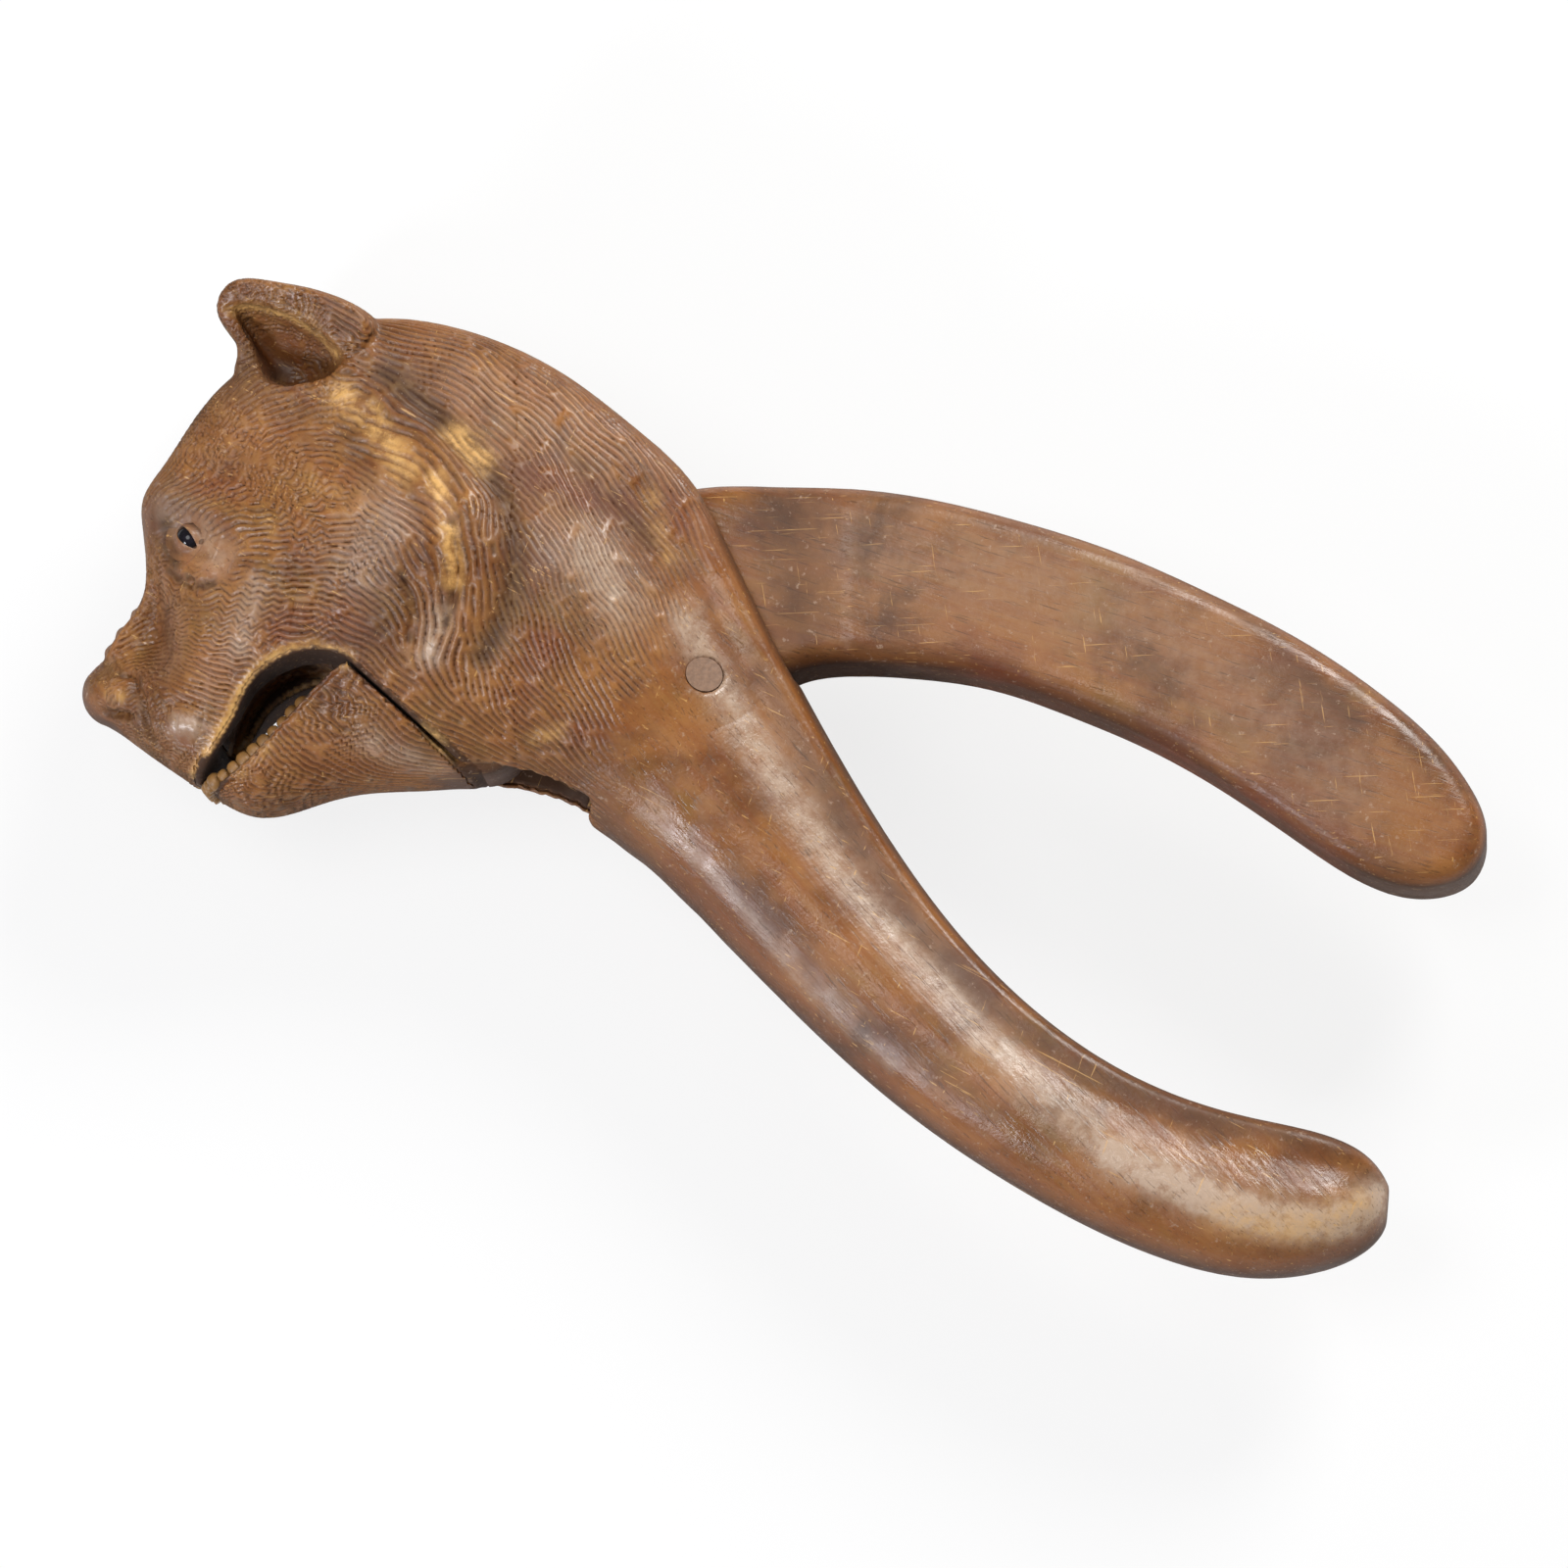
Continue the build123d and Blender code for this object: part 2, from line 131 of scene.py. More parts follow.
# Line behind which the neck is smooth, from the nape down to the throat, and the same on the jaw
HEAD_FUR_END = [(3, 31), (0.4, 26), (-1.6, 13.7), (-8, -2.6), (-15, -11.5), (-16, -20)]
JAW_FUR_END = [(-30, 10), (-33, -8), (-40, -15), (-42, -30)]

# Way the gouge ran at places on each lever: place, and its angle above the x axis in degrees
HEAD_FLOW = [
    ((-84, 10, 3), 55), ((-77, 4.9, 10.7), -15), ((-72, -1, 12), -25),
    ((-67, 6, 16), 5), ((-70, 11.5, 17), -10), ((-79, 30, 9), 35),
    ((-74, 31, 15), 30), ((-70, 40, 12), 50), ((-66, 41, 15), 30),
    ((-58, 39, 18), 10), ((-64, 33, 18), 22), ((-56, 33, 20), 5),
    ((-49.5, 37, 20), -18), ((-46, 31, 21.5), -38), ((-58, 24, 21.5), 5),
    ((-52.6, 16, 24), -4), ((-45, 20, 24), -30), ((-40.5, 16, 24.5), -62),
    ((-38.5, 9, 23), -82), ((-40.5, 3, 20.5), -98), ((-57, 8, 21.5), 4),
    ((-50, 4.5, 20), -22), ((-43, -1, 18), -42), ((-34, -9, 16.5), -42),
    ((-51.2, 43, 18.7), -15), ((-42.5, 36.8, 19.9), -42), ((-34.9, 27.5, 22.8), -58),
    ((-31.1, 18.6, 24.5), -80), ((-31.7, 10.4, 23.5), -92), ((-35.4, 4, 20.8), -105),
    ((-33, 34, 19), -42), ((-22, 24, 20), -52), ((-12, 22, 17), -58),
    ((-24, 10, 22), -62), ((-14, 6, 19), -60), ((-28, -1, 20), -68),
    ((-20, -4, 19), -60), ((-26, -9, 15), -48), ((-41, 46, 8), -22),
    ((-22, 39, 8), -40), ((-10, 31, 8), -50), ((-60, 53, 13), -12),
    ((-52, 49, 13), -32), ((-67, 52, 10), 60), ((-58, 50, 4), 5),
]
JAW_FLOW = [
    ((-66, -14, 8), -35), ((-60, -10.5, 11), -55), ((-53.7, -7, 12.9), -58),
    ((-47, -6, 12), -50), ((-40, -11, 9), -38), ((-58, -17, 5), -30),
]

# Swings of the gouge's way: how far in radians, and their lengths along x and y
MEANDERS = [(0.15, 2.4, 3.9), (0.1, -4.7, 1.9)]

# Where the strokes are finer or bolder: place, reach and size beside the usual one
STROKE_SIZES = [
    ((-80, 2, 8), 11, 0.76), ((-73, 8, 15), 7, 0.82),
    ((-46, 36, 20), 5.5, 1.6), ((-39, 27, 22), 5, 1.6),
    ((-35, 14, 24), 5.5, 1.7), ((-38, 3, 21), 5, 1.45),
    ((-16, 12, 18), 12, 0.86), ((-60, 50, 14), 7, 0.8),
]

# Weights of the distances along x, y and z when the nearest guide is looked for
PROFILE_FIRST = np.array([1, 1, 0.15])

# Worn places where the pale wood shows, and a painted highlight at the end of the front handle:
# points, reach and strength of each
WORN_AND_HIGHLIT_PLACES = [
    ([(-51.8, 40, 19), (-47, 35.5, 20.5), (-42, 28, 22.5)], 2.4, 0.7),
    ([(-35, 33.5, 20.5), (-31.5, 30, 21.5)], 2.3, 1.05),
    ([(-37.8, 26.5, 23), (-35.6, 20, 24.4), (-34.8, 12, 24)], 1.5, 1),
    ([(-68, 52.5, 13), (-64, 52.8, 15.5), (-58, 50.6, 17.5), (-53, 46.6, 18.5)], 1.1, 0.75),
    ([(-55, 26.5, 22), (-52, 25, 23.5)], 2, 0.22),
    ([(-39.5, -7.4, 15), (-36.4, -10.4, 13)], 1, 0.95),
    ([(-85.6, -0.9, 6), (-83.8, -1.6, 6.6)], 1, 0.5),
    ([(-69.6, 50.5, 10), (-67.6, 46.5, 11.5)], 1.2, 0.5),
    ([(-66.5, -13.5, 8.5), (-62, -9.5, 10.5)], 0.8, 0.35),
    ([(-66, 53, 13), (-58, 51, 15), (-53, 47, 16)], 2.6, 0.3),
    ([(-7.6, 26, 15), (-5.4, 17, 15)], 1.6, 0.4),
    ([(74, -77, 8), (84, -78.4, 7.5), (92, -75.5, 6.5)], 2.8, 0.4),
    ([(-24, -9, 15), (-20, -8, 16.5)], 1.4, 0.5),
]

# Cuts of the face that are darkened with stain and painted shade
STAINED_AND_SHADED_FORMS = ["under_eye_crease", "under_eye_pit", "nose_back_groove", "nostril", "ruff_valley",
                 "brow_furrow", "inner_corner", "nose_comma", "cheek_lock_edge", "cheek_cleft"]

# Places that are darker as a whole: the wood's own darker stain, and painted shade, such as where
# the jaw meets the throat and under the jaw
DARK_PLACES = [
    ([(-80, 30, 5), (-74, 40, 9), (-66, 43, 12)], 7, 0.58),
    ([(-89, 1.5, 2), (-86.4, 2.8, 5)], 2.4, 0.5),
    ([(-33, -12, 8), (-28, -14, 6), (-20, -15, 5)], 3, 0.7),
    ([(12.6, 3, 2), (34.9, 3, 2), (55.8, -7.1, 2), (74.2, -16.3, 2), (87.3, -24, 2),
      (97.7, -27.9, 2)], 5, 0.35),
    ([(-74, 33, 15), (-66, 30, 19), (-58, 30, 21)], 4, 0.25),
    ([(-54, 45, 14), (-44, 44, 12), (-34, 39, 13)], 4, 0.4),
    ([(-80, 10, 8), (-77, 2, 11), (-80, -4, 8)], 5, 0.3),
    ([(-75, 12, 14), (-70, 8, 15)], 3, 0.3),
    ([(-27, 29, 21), (-22, 24, 21)], 3, 0.35),
    ([(-13, 25, 16), (-8, 19, 15)], 1.8, 0.6),
    ([(-18, 30, 16), (-14, 23, 18)], 1.6, 0.4),
    ([(-78, 22, 9), (-76, 34, 12), (-70, 38, 15)], 5, 0.4),
    ([(-43.6, 30, 22), (-40, 21, 23.5), (-39, 14, 23.5)], 1, 0.45),
    ([(-27, -12, 15), (-21, -14, 13), (-12, -24, 10)], 3, 0.35),
    ([(-66, -20, 6), (-52, -19, 4), (-36, -18, 4)], 3.5, 0.4),
    ([(-57, 33, 21), (-50, 31, 22), (-46, 25, 23)], 2, 0.35),
    ([(-62, 37, 18), (-55, 37, 19)], 2, 0.3),
    ([(-46, 8, 21), (-42, 0, 19)], 2.5, 0.3),
    ([(12, 24, 8.4), (14, 8, 8.4)], 6, 0.45),
    ([(22, 20, 8.4), (60, 10, 8.4), (92, -16, 8.4)], 14, 0.2),
    ([(30, 3, 7), (60, -6, 7), (82, -24, 7)], 2.6, 0.45),
    ([(4, -28, 9), (18, -44, 9), (40, -62, 8)], 2.6, 0.3),
    ([(8, 0, 9), (22, -24, 9), (36, -42, 9), (54, -56, 9), (66, -60, 9)], 2.2, 0.4),
    ([(-4, -30, 8), (12, -50, 8), (34, -68, 7), (56, -79, 7)], 1.8, 0.4),
    ([(16, 30, 7), (40, 28, 7), (70, 14, 7), (92, -6, 7)], 1.6, 0.45),
    ([(68, -62, 9), (80, -64, 8), (90, -66, 6)], 2.4, 0.45),
]

# Places with a warm red stain, and places that are paler: partly dusty bloom, partly painted
# highlights and sheen, such as the painted reflection along the front handle and at its end
RED_PLACES = [
    ([(-60, 6, 21), (-50, 7, 21)], 3, 0.7),
    ([(34.9, 3, 4), (55.8, -7.1, 4), (74.2, -16.3, 4), (87.3, -24, 4)], 5, 1),
    ([(-22, 3, 21), (-27, -6, 18)], 3, 0.8),
    ([(-62, -12, 10), (-57, -12, 11)], 2.5, 0.7),
    ([(-24, 27, 21), (-12, 24, 18)], 3, 0.7),
    ([(-20, 40, 8), (-10, 32, 9), (-3, 22, 10)], 3, 0.8),
    ([(-70, 28, 17), (-60, 26, 21)], 3, 0.6),
    ([(-44, -8, 14), (-52, -12, 11)], 2.5, 0.7),
    ([(-70, 36, 15), (-62, 33, 18)], 3, 0.5),
    ([(-52, 26, 22), (-46, 28, 22)], 2.5, 0.6),
    ([(-18, -8, 16), (-12, -6, 15)], 3, 0.6),
]
BLOOM_AND_SHEEN_PLACES = [
    ([(-16, 16, 20), (-12, 10, 18)], 4.5, 0.8),
    ([(-36.5, 8, 22), (-38.5, 2, 20)], 2, 0.8),
    ([(-63, 12, 19.5), (-66, 4, 16.5)], 2, 0.6),
    ([(-3, 8, 14.5), (2.9, -2.6, 12), (18.6, -26.1, 10.5), (31.7, -41.8, 10.3), (42.2, -53.6, 10),
      (56.5, -66.6, 9.8)], 2.8, 0.75),
    ([(58, -68, 9.6), (74.9, -75.6, 9), (88, -77.6, 7), (95, -73.6, 6)], 2.8, 1.4),
    ([(-75.2, -6.3, 10.3), (-72.6, -6.9, 10.8)], 1.7, 0.8),
    ([(-77, 24, 11), (-72, 20, 16), (-69, 16, 18)], 3.2, 0.4),
    ([(-8.9, -19.5, 12), (2.9, -29.9, 11), (14.8, -44.4, 9.6), (26.5, -54.8, 9)], 1.3, 0.35),
    ([(-45, 22, 24), (-48, 14, 23.5)], 4, 0.4),
    ([(24, 20, 8), (60, 10, 8), (90, -14, 8)], 8, 0.2),
    ([(-47, -9, 13), (-38, -14, 8)], 2.5, 0.6),
]

# Lower teeth from the middle of the jaw back along its edge
LOWER_TEETH = [(-71.6, -14.3, 0), (-71.4, -14.2, 3), (-70, -13.7, 5.8), (-67.4, -12.3, 7.2),
               (-64.2, -9.8, 7.8), (-60.5, -6.3, 8.2), (-57.4, -3.4, 8.6)]

# Where rays that look for the wood start, beside the cheek and before the nose, and how far from
# its given height a place on the cheek may be set onto the wood
BESIDE, BEFORE = 60, -120
SEAT_REACH = 6

# Wear of the lip: its reach, its strength, and the places above and beside which it shows
LIP_WEAR_REACH, LIP_WEAR = 1.25, 1.15
LIP_WEAR_ABOVE, LIP_WEAR_BESIDE = -15, 3

# Stain and painted shade: how far they spread beside a dark cut, and their strength there, inside
# the mouth and under the skin, where it is all painted shade, and in the gouge's cuts; and the wear
# and painted highlight on the ridges between these
STAIN_AND_SHADE_SPREAD = 1.1
FORM_STAIN_AND_SHADE, INSIDE_SHADE, UNDER_SKIN_SHADE, CUT_STAIN_AND_SHADE = 0.85, 0.92, 0.5, 0.62
CREST_WEAR_AND_HIGHLIGHT = 0.1

# A form rises to its full height over one part in so many of its line, from a share of it at the end
TAPER, TAPER_END = 6, 0.35

# Wood behind this place is all handle, and the ear's own face is open although the ear bends over it
HANDLE_START = 26
EAR_MIDDLE, EAR_REACH, EAR_FOOT, EAR_FACING = (-60, 49, 15), 11, 41.5, 0.2

# Bottom of the ear's hollow and its reach, over which it is darkened with painted shade
EAR_PIT, EAR_PIT_REACH = (-61.8, 44.4, 11.5), 2.4

# The skin fades in between two distances from a sawn face and two before the end of the fur. The
# fur fades in between two values of the cover, two shares of a smooth place's reach, two distances
# from the lip and two before its end.
SKIN_AT_CUT, SKIN_AT_NECK = (0.15, 0.6), (-20, -5)
FUR_IN_SKIN, FUR_ROUND_PLACE = (0.4, 1), (0.55, 1.15)
FUR_AT_LIP, FUR_AT_NECK = (0.9, 1.9), (-3, 3.5)

# Depth in millimetres that the skin's edge sinks into the wood
EDGE_SINK = 0.2

# Share of the skin's corner points at which a patch of cuts starts, the least fur there, how many
# times the patches are steered by their neighbours, how far that and the cuts reach in widths of a
# patch, and the strength of the weakest patch
PATCH_SHARE, LEAST_FUR = 0.055, 0.02
STEERINGS = 5
STEER_WIDTHS, CUT_WIDTHS = 2.2, 2.4
WEAKEST_PATCH = 0.3

# Agreement of the patches at which a cut fades in, how sharp the ridges are, how much of the cuts
# a worn place loses and the least that it keeps, and how much of the wear the cuts lose
AGREEMENT, RIDGE_SHARPNESS = (0.12, 0.5), 0.8
WORN_AWAY, LEAST_KEPT, UNWORN_IN_CUT = 0.5, 0.3, 0.75

# How far a guide's way spreads and how fast it fades, how much the meanders bend, and the least
# and the most of a stroke's size
GUIDE_SPREAD, GUIDE_FADE, MEANDER_BEND, STROKE_RANGE = 3, 1.5, 1.6, (0.65, 1.8)

# The ragged end of the fur: how far it swings, and its turns along y, along z and across
END_SWING, END_TURNS = 1.5, (0.9, 0.7, 0.31)

# The waves in the cuts: how much they bend and over what length, their usual height and its
# swing with the lengths of that, their share on the neck, and where between neck and face they grow
WAVE_BEND, WAVE_BEND_LENGTH = 1.3, 2.7
WAVE_USUAL, WAVE_SWING, SWING_LENGTHS = 0.6, 0.4, (5.1, 3.7)
CALM_SHARE, CALM_TO_WAVED = 0.15, (44, 52)

# Names of the skin's parts, and the places along the head where they part
SKIN_PARTS = ["_left_face", "_left_cheek", "_left_neck", "_right_face", "_right_cheek",
              "_right_neck", ""]
SKIN_SPLITS = [-58, -27]
RIGHT_PARTS = 3

# Most triangles that a piece of plain wood keeps, the distance within which corners are joined, how
# the cells are eased, and the angle from which an edge of the skin is sharp, in degrees
MOST_TRIANGLES = 180000
MERGE = 1e-7
EASE, EASINGS = 0.5, 3
SHARP = 80

# Way the grain runs in each lever, in degrees above the x axis
GRAIN = {"head": -48, "jaw": -18}

# Clouds in the wood: scale, the noise at which they start and are full, detail, roughness, distortion
CLOUDS = {
    "umber": (60, 0.4, 0.64, 6, 0.6),
    "dark": (36, 0.52, 0.74, 7, 0.65, 0.6),
    "olive": (75, 0.5, 0.7, 5, 0.6, 0.4),
    "gloss": (170, 0.3, 0.7),
    "ragged": (300, 0.36, 0.62, 6, 0.75),
    "dust_and_sheen": (420, 0.3, 0.7, 6, 0.7),
    "fleck": (950, 0.6, 0.74, 3, 0.7),
}

# Streaks in the wood: turn from the grain, scale along and across, and where they start and are full
STREAKS = {
    "grain": (0, 45, 650, 0.38, 0.68),
    "pores": (0, 190, 3200, 0.58, 0.7),
    "scratches": (0.35, 80, 2600, 0.66, 0.71),
    "cross_scratches": (-1.1, 130, 2200, 0.68, 0.73),
}

# Upright part of the surface's normal at which an edge's painted shade, orange, and its brink's
# painted shade, dark, start and are full, and the least and most roughness of the varnish
EDGE_SHADE, BRINK_SHADE, VARNISH = (0.9, 0.45), (0.62, 0.12), (0.2, 0.38)

# Rings of a tooth, each its height and its width as shares of the tooth's, the corners of a ring,
# how flat the tooth is and how deep it is set, how it is turned onto the jaw, in degrees, and the
# least and the most of its size
TOOTH_RINGS = [(0, 1), (0.55, 1), (0.85, 0.85), (1, 0.5)]
TOOTH_CORNERS, TOOTH_FLATNESS, TOOTH_ROOT = 8, 0.8, 0.3
TOOTH_TURN, TOOTH_LEAN = 42, -90
TOOTH_SPREAD = (0.8, 1.12)

# Loops of the lids, each how far it lies from the opening to the outer rim and its height over the
# glass as a share of the eye's radius, and the corners of a loop
LID_LOOPS = [(0, 0.97), (0, 1.04), (0.08, 1.06), (0.2, 1.05), (0.36, 1.01), (0.55, 0.86),
             (0.78, 0.65), (1, 0.5)]
LID_CORNERS, LID_POINTEDNESS = 48, 0.35

# Height of the wood round the eye above the eye's middle, in radiuses of the eye, how much it
# falls towards the rim, and the ways that the left eye looks and its lids run
LID_LEVEL, LID_FALL = 0.42, 0.06
EYE_OUT, LID_ALONG = (-0.36, 0.08, 0.93), (0.68, -0.73, 0)

# Lamps: place, width, power in watts and colour
LAMPS = {
    "window": ((0.42, 0.68, 0.64), 0.42, 8.6, (1, 0.99, 0.97)),
    "low_side": ((-0.62, -0.52, 0.5), 0.26, 4.2, (0.92, 0.93, 1)),
    "above": ((-0.3, 0.05, 0.95), 0.5, 3.4, (1, 1, 1)),
}

# What the camera aims at, from the hinge and then to its own right and up
AIM, NUDGE = (0.0102, -0.0148, 0), (0.00027, 0.00153)
SENSOR = 36


def paint(red, green, blue):
    """Colour written as it looks on a screen, 0 to 255, turned into Blender's linear colour."""
    shares = [value / 255 for value in (red, green, blue)]
    return tuple(share / 12.92 if share <= 0.04045 else ((share + 0.055) / 1.055) ** 2.4
                 for share in shares)


def colour_property(name, description, default):
    return bpy.props.FloatVectorProperty(
        name=name, description=description, subtype="COLOR", size=3, min=0.0, max=1.0,
        default=default)


def length_property(name, description, default):
    return bpy.props.FloatProperty(
        name=name, description=description, default=default, min=0.0, unit="LENGTH", precision=5)


def share_property(name, description, default, subtype="NONE"):
    return bpy.props.FloatProperty(
        name=name, description=description, default=default, subtype=subtype)


class CarvingSizes(bpy.types.PropertyGroup):
    """Sizes of the carved wooden bodies."""
    voxel: length_property("Voxel", "Cell size that the wood is remeshed at", 0.0005)
    relief: share_property("Relief", "Strength of the carved forms of the face", 1.0)
    wrinkle_height: length_property("Wrinkle height", "Height of the muzzle's wrinkles", 0.00055)
    wrinkle_width: length_property("Wrinkle width", "Width of the muzzle's wrinkles", 0.00095)


class FurSizes(bpy.types.PropertyGroup):
    """Sizes of the gouge cuts that draw the fur."""
    spacing: length_property("Spacing", "Distance between neighbouring cuts", 0.00096)
    depth: share_property("Depth", "Depth of a cut as a share of the spacing", 0.46)
    in_step: share_property("In step", "How far a cut steers its neighbours, in spacings", 0.95)
    wave_length: length_property("Wave length", "Length of the waves in a cut", 0.003)
    wave_height: length_property("Wave height", "How far a cut swings to each side", 0.0004)
    sunk: length_property("Sunk", "Depth of the plain wood under the carved skin", 0.0004)
    skin: length_property("Skin", "Thickness of the carved skin", 0.0007)
    seed: bpy.props.IntProperty(name="Seed", description="Seed of the cuts' places", default=7)


class ToothSizes(bpy.types.PropertyGroup):
    """Sizes of the teeth."""
    spacing: length_property("Spacing", "Distance from tooth to tooth", 0.0019)
    width: length_property("Width", "Width of a tooth at its root", 0.00215)
    height: length_property("Height", "Height of a tooth", 0.0021)
    seed: bpy.props.IntProperty(name="Seed", description="Seed of the teeth's sizes", default=3)


class EyeSizes(bpy.types.PropertyGroup):
    """Sizes of the lids round the glass eyes."""
    half_length: length_property("Half length", "Half the length of the lids' opening", 0.0023)
    half_height: length_property("Half height", "Half the height of the lids' opening", 0.00092)
    rim: length_property("Rim", "Distance from the eye's middle to the lids' outer rim", 0.0036)


class WoodColours(bpy.types.PropertyGroup):
    """Colours of the stained and varnished wood."""
    brown: colour_property("Brown", "Main colour of the stained wood", paint(154, 102, 54))
    umber: colour_property("Umber", "Second colour of the stained wood", paint(106, 64, 32))
    olive: colour_property("Olive", "Yellowish patches of the stain", paint(132, 98, 46))
    # Also the painted shade in the hollows, inside the mouth, under the skin and on the steep sides
    dark: colour_property("Dark", "Stain in the hollows and the dark patches", paint(58, 34, 15))
    russet: colour_property("Russet", "Reddish stain", paint(124, 60, 26))
    # Painted shade: the colour that the turned edges shift to as they turn away from the top
    orange: colour_property("Orange", "Warm colour along the turned edges", paint(142, 80, 28))
    # Also the colour of painted highlights on the crests and at the front handle's end
    ochre: colour_property("Ochre", "Bare wood where the stain has worn off", paint(220, 172, 104))
    # Also the colour of the painted sheen and highlights, besides the dusty bloom and the fine flecks
    grey: colour_property("Grey", "Rubbed, dusty bloom on high places", paint(186, 160, 138))
    plug: colour_property("Plug", "End grain of the plugs", paint(146, 112, 88))
    tooth: colour_property("Tooth", "Teeth", paint(150, 108, 58))


class StageSizes(bpy.types.PropertyGroup):
    """Camera, floor and the light from all sides."""
    distance: length_property("Distance", "Distance from the camera to the nutcracker", 1.5)
    lens: share_property("Lens", "Focal length of the camera", 241.4, "DISTANCE_CAMERA")
    lean_x: share_property("Lean right", "Lean of the camera towards the handles", 0.07)
    lean_y: share_property("Lean down", "Lean of the camera towards the jaw", -0.18)
    roll: share_property("Roll", "Roll of the camera", -0.0035, "ANGLE")
    floor_size: length_property("Floor", "Side of the floor", 4.0)
    floor_drop: length_property("Floor drop", "Depth of the floor under the lowest solid", 0.0006)
    floor: colour_property("Floor colour", "Colour of the floor", (0.85, 0.85, 0.85))
    floor_glow: share_property("Floor glow", "Share of white that the camera sees there", 0.8)
    sky: share_property("Sky", "Strength of the soft light from all sides", 0.22)


GROUPS = {
    "nut_carving": CarvingSizes, "nut_fur": FurSizes, "nut_teeth": ToothSizes,
    "nut_eyes": EyeSizes, "nut_wood": WoodColours, "nut_stage": StageSizes,
}


# Curves and distances

def smooth_line(points, steps=6):
    """Points of a smooth curve through the given ones."""
    p = np.array(points, float)
    ends = np.vstack([2 * p[0] - p[1], p, 2 * p[-1] - p[-2]])
    t = np.linspace(0, 1, steps, endpoint=False)[:, None]
    runs = []
    for a, b, c, d in zip(ends, ends[1:], ends[2:], ends[3:]):
        runs.append(0.5 * (2 * b + (c - a) * t + (2 * a - 5 * b + 4 * c - d) * t ** 2
                           + (3 * b - a - 3 * c + d) * t ** 3))
    return np.vstack(runs + [p[-1:]])


def line_distance(points, line):
    """Distance of each point from a line, and how far along the line its foot lies, 0 to 1."""
    best = np.full(len(points), np.inf)
    along = np.zeros(len(points))
    lengths = np.linalg.norm(np.diff(line, axis=0), axis=1)
    total = lengths.sum()
    start = 0.0
    for a, b, length in zip(line, line[1:], lengths):
        t = np.clip(((points - a) @ (b - a)) / length ** 2, 0, 1)
        d = np.linalg.norm(points - (a + t[:, None] * (b - a)), axis=1)
        closer = d < best
        best[closer] = d[closer]
        along[closer] = (start + t[closer] * length) / total
        start += length
    return best, along


def profile_distance(rel, line):
    """Distance of each point from a line, both seen from the side."""
    return line_distance(rel[:, :2], np.array(line, float))[0]


def folded(points):
    """Millimetres from the hinge, with the right cheek folded over onto the left one."""
    rel = (points - np.array(HINGE)) / MM
    rel[:, 2] = np.abs(rel[:, 2])
    return rel


def smooth_step(values, low, high):
    t = np.clip((values - low) / (high - low), 0, 1)
    return t * t * (3 - 2 * t)


# Meshes

def vectors(mesh, name):
    """The place or the normal of each corner point, one row each."""
    numbers = np.empty(len(mesh.vertices) * 3)
    mesh.vertices.foreach_get(name, numbers)
    return numbers.reshape(-1, 3)


def edge_ends(mesh):
    return np.array([tuple(edge.vertices) for edge in mesh.edges], np.int64)


def quads(mesh):
    corners = np.empty(len(mesh.loops), np.int32)
    mesh.loops.foreach_get("vertex_index", corners)
    return corners.reshape(-1, 4).astype(np.int64)


def shade_smooth(mesh):
    mesh.polygons.foreach_set("use_smooth", np.ones(len(mesh.polygons), bool))
    mesh.update()


def new_mesh(name, corners, faces, edges=()):
    mesh = bpy.data.meshes.new(name)
    mesh.from_pydata(corners, edges, faces)
    shade_smooth(mesh)
    return mesh


def ring_faces(rings, count):
    """Four-sided faces between neighbouring rings of corners."""
    return [(a + i, a + (i + 1) % count, a + count + (i + 1) % count, a + count + i)
            for a in range(0, (rings - 1) * count, count) for i in range(count)]


def new_object(name, data):
    piece = bpy.data.objects.new(name, data)
    bpy.context.scene.collection.objects.link(piece)
    return piece


def applied(piece, name):
    """The piece with its modifiers made into a plain mesh, as a new object."""
    graph = bpy.context.evaluated_depsgraph_get()
    mesh = bpy.data.meshes.new_from_object(piece.evaluated_get(graph))
    made = new_object(name, mesh)
    mesh.name = name
    bpy.data.objects.remove(piece)
    return made


def face_outwards(mesh, merge=0.0):
    """Join the corners that lie within a distance, and turn the faces outwards."""
    work = bmesh.new()
    work.from_mesh(mesh)
    if merge:
        bmesh.ops.remove_doubles(work, verts=work.verts, dist=merge)
    bmesh.ops.recalc_face_normals(work, faces=work.faces)
    work.to_mesh(mesh)
    work.free()


def remeshed(node, voxel, name):
    """A copy of a solid, remeshed into even cells and eased, ready for carving."""
    mesh = frame["nodes"][node].data.copy()
    face_outwards(mesh, MERGE)
    mesh.materials.clear()
    piece = new_object(node + "_copy", mesh)
    remesh = piece.modifiers.new("cells", "REMESH")
    remesh.mode = "VOXEL"
    remesh.voxel_size = voxel
    remesh.use_smooth_shade = True
    ease = piece.modifiers.new("ease", "SMOOTH")
    ease.factor = EASE
    ease.iterations = EASINGS
    return applied(piece, name)


def thinned(piece, name):
    """The piece with fewer faces, where it has more than a piece should."""
    triangles = 2 * len(piece.data.polygons)
    if triangles < MOST_TRIANGLES:
        return piece
    thin = piece.modifiers.new("thin", "DECIMATE")
    thin.ratio = MOST_TRIANGLES / triangles
    return applied(piece, name)


def cut_out(piece, cover, name):
    """The part of a surface that the cover marks."""
    copy = new_object(name, piece.data.copy())
    work = bmesh.new()
    work.from_mesh(copy.data)
    bare = [vertex for vertex in work.verts if cover[vertex.index] <= 0]
    bmesh.ops.delete(work, geom=bare, context="VERTS")
    bmesh.ops.delete(work, geom=[v for v in work.verts if not v.link_faces], context="VERTS")
    work.to_mesh(copy.data)
    work.free()
    return copy


def write_marks(mesh, marks):
    """Store a number on each corner point of a mesh under each name."""
    for name, values in marks.items():
        attribute = mesh.attributes.get(name) or mesh.attributes.new(name, "FLOAT", "POINT")
        attribute.data.foreach_set("value", np.asarray(values, np.float32))


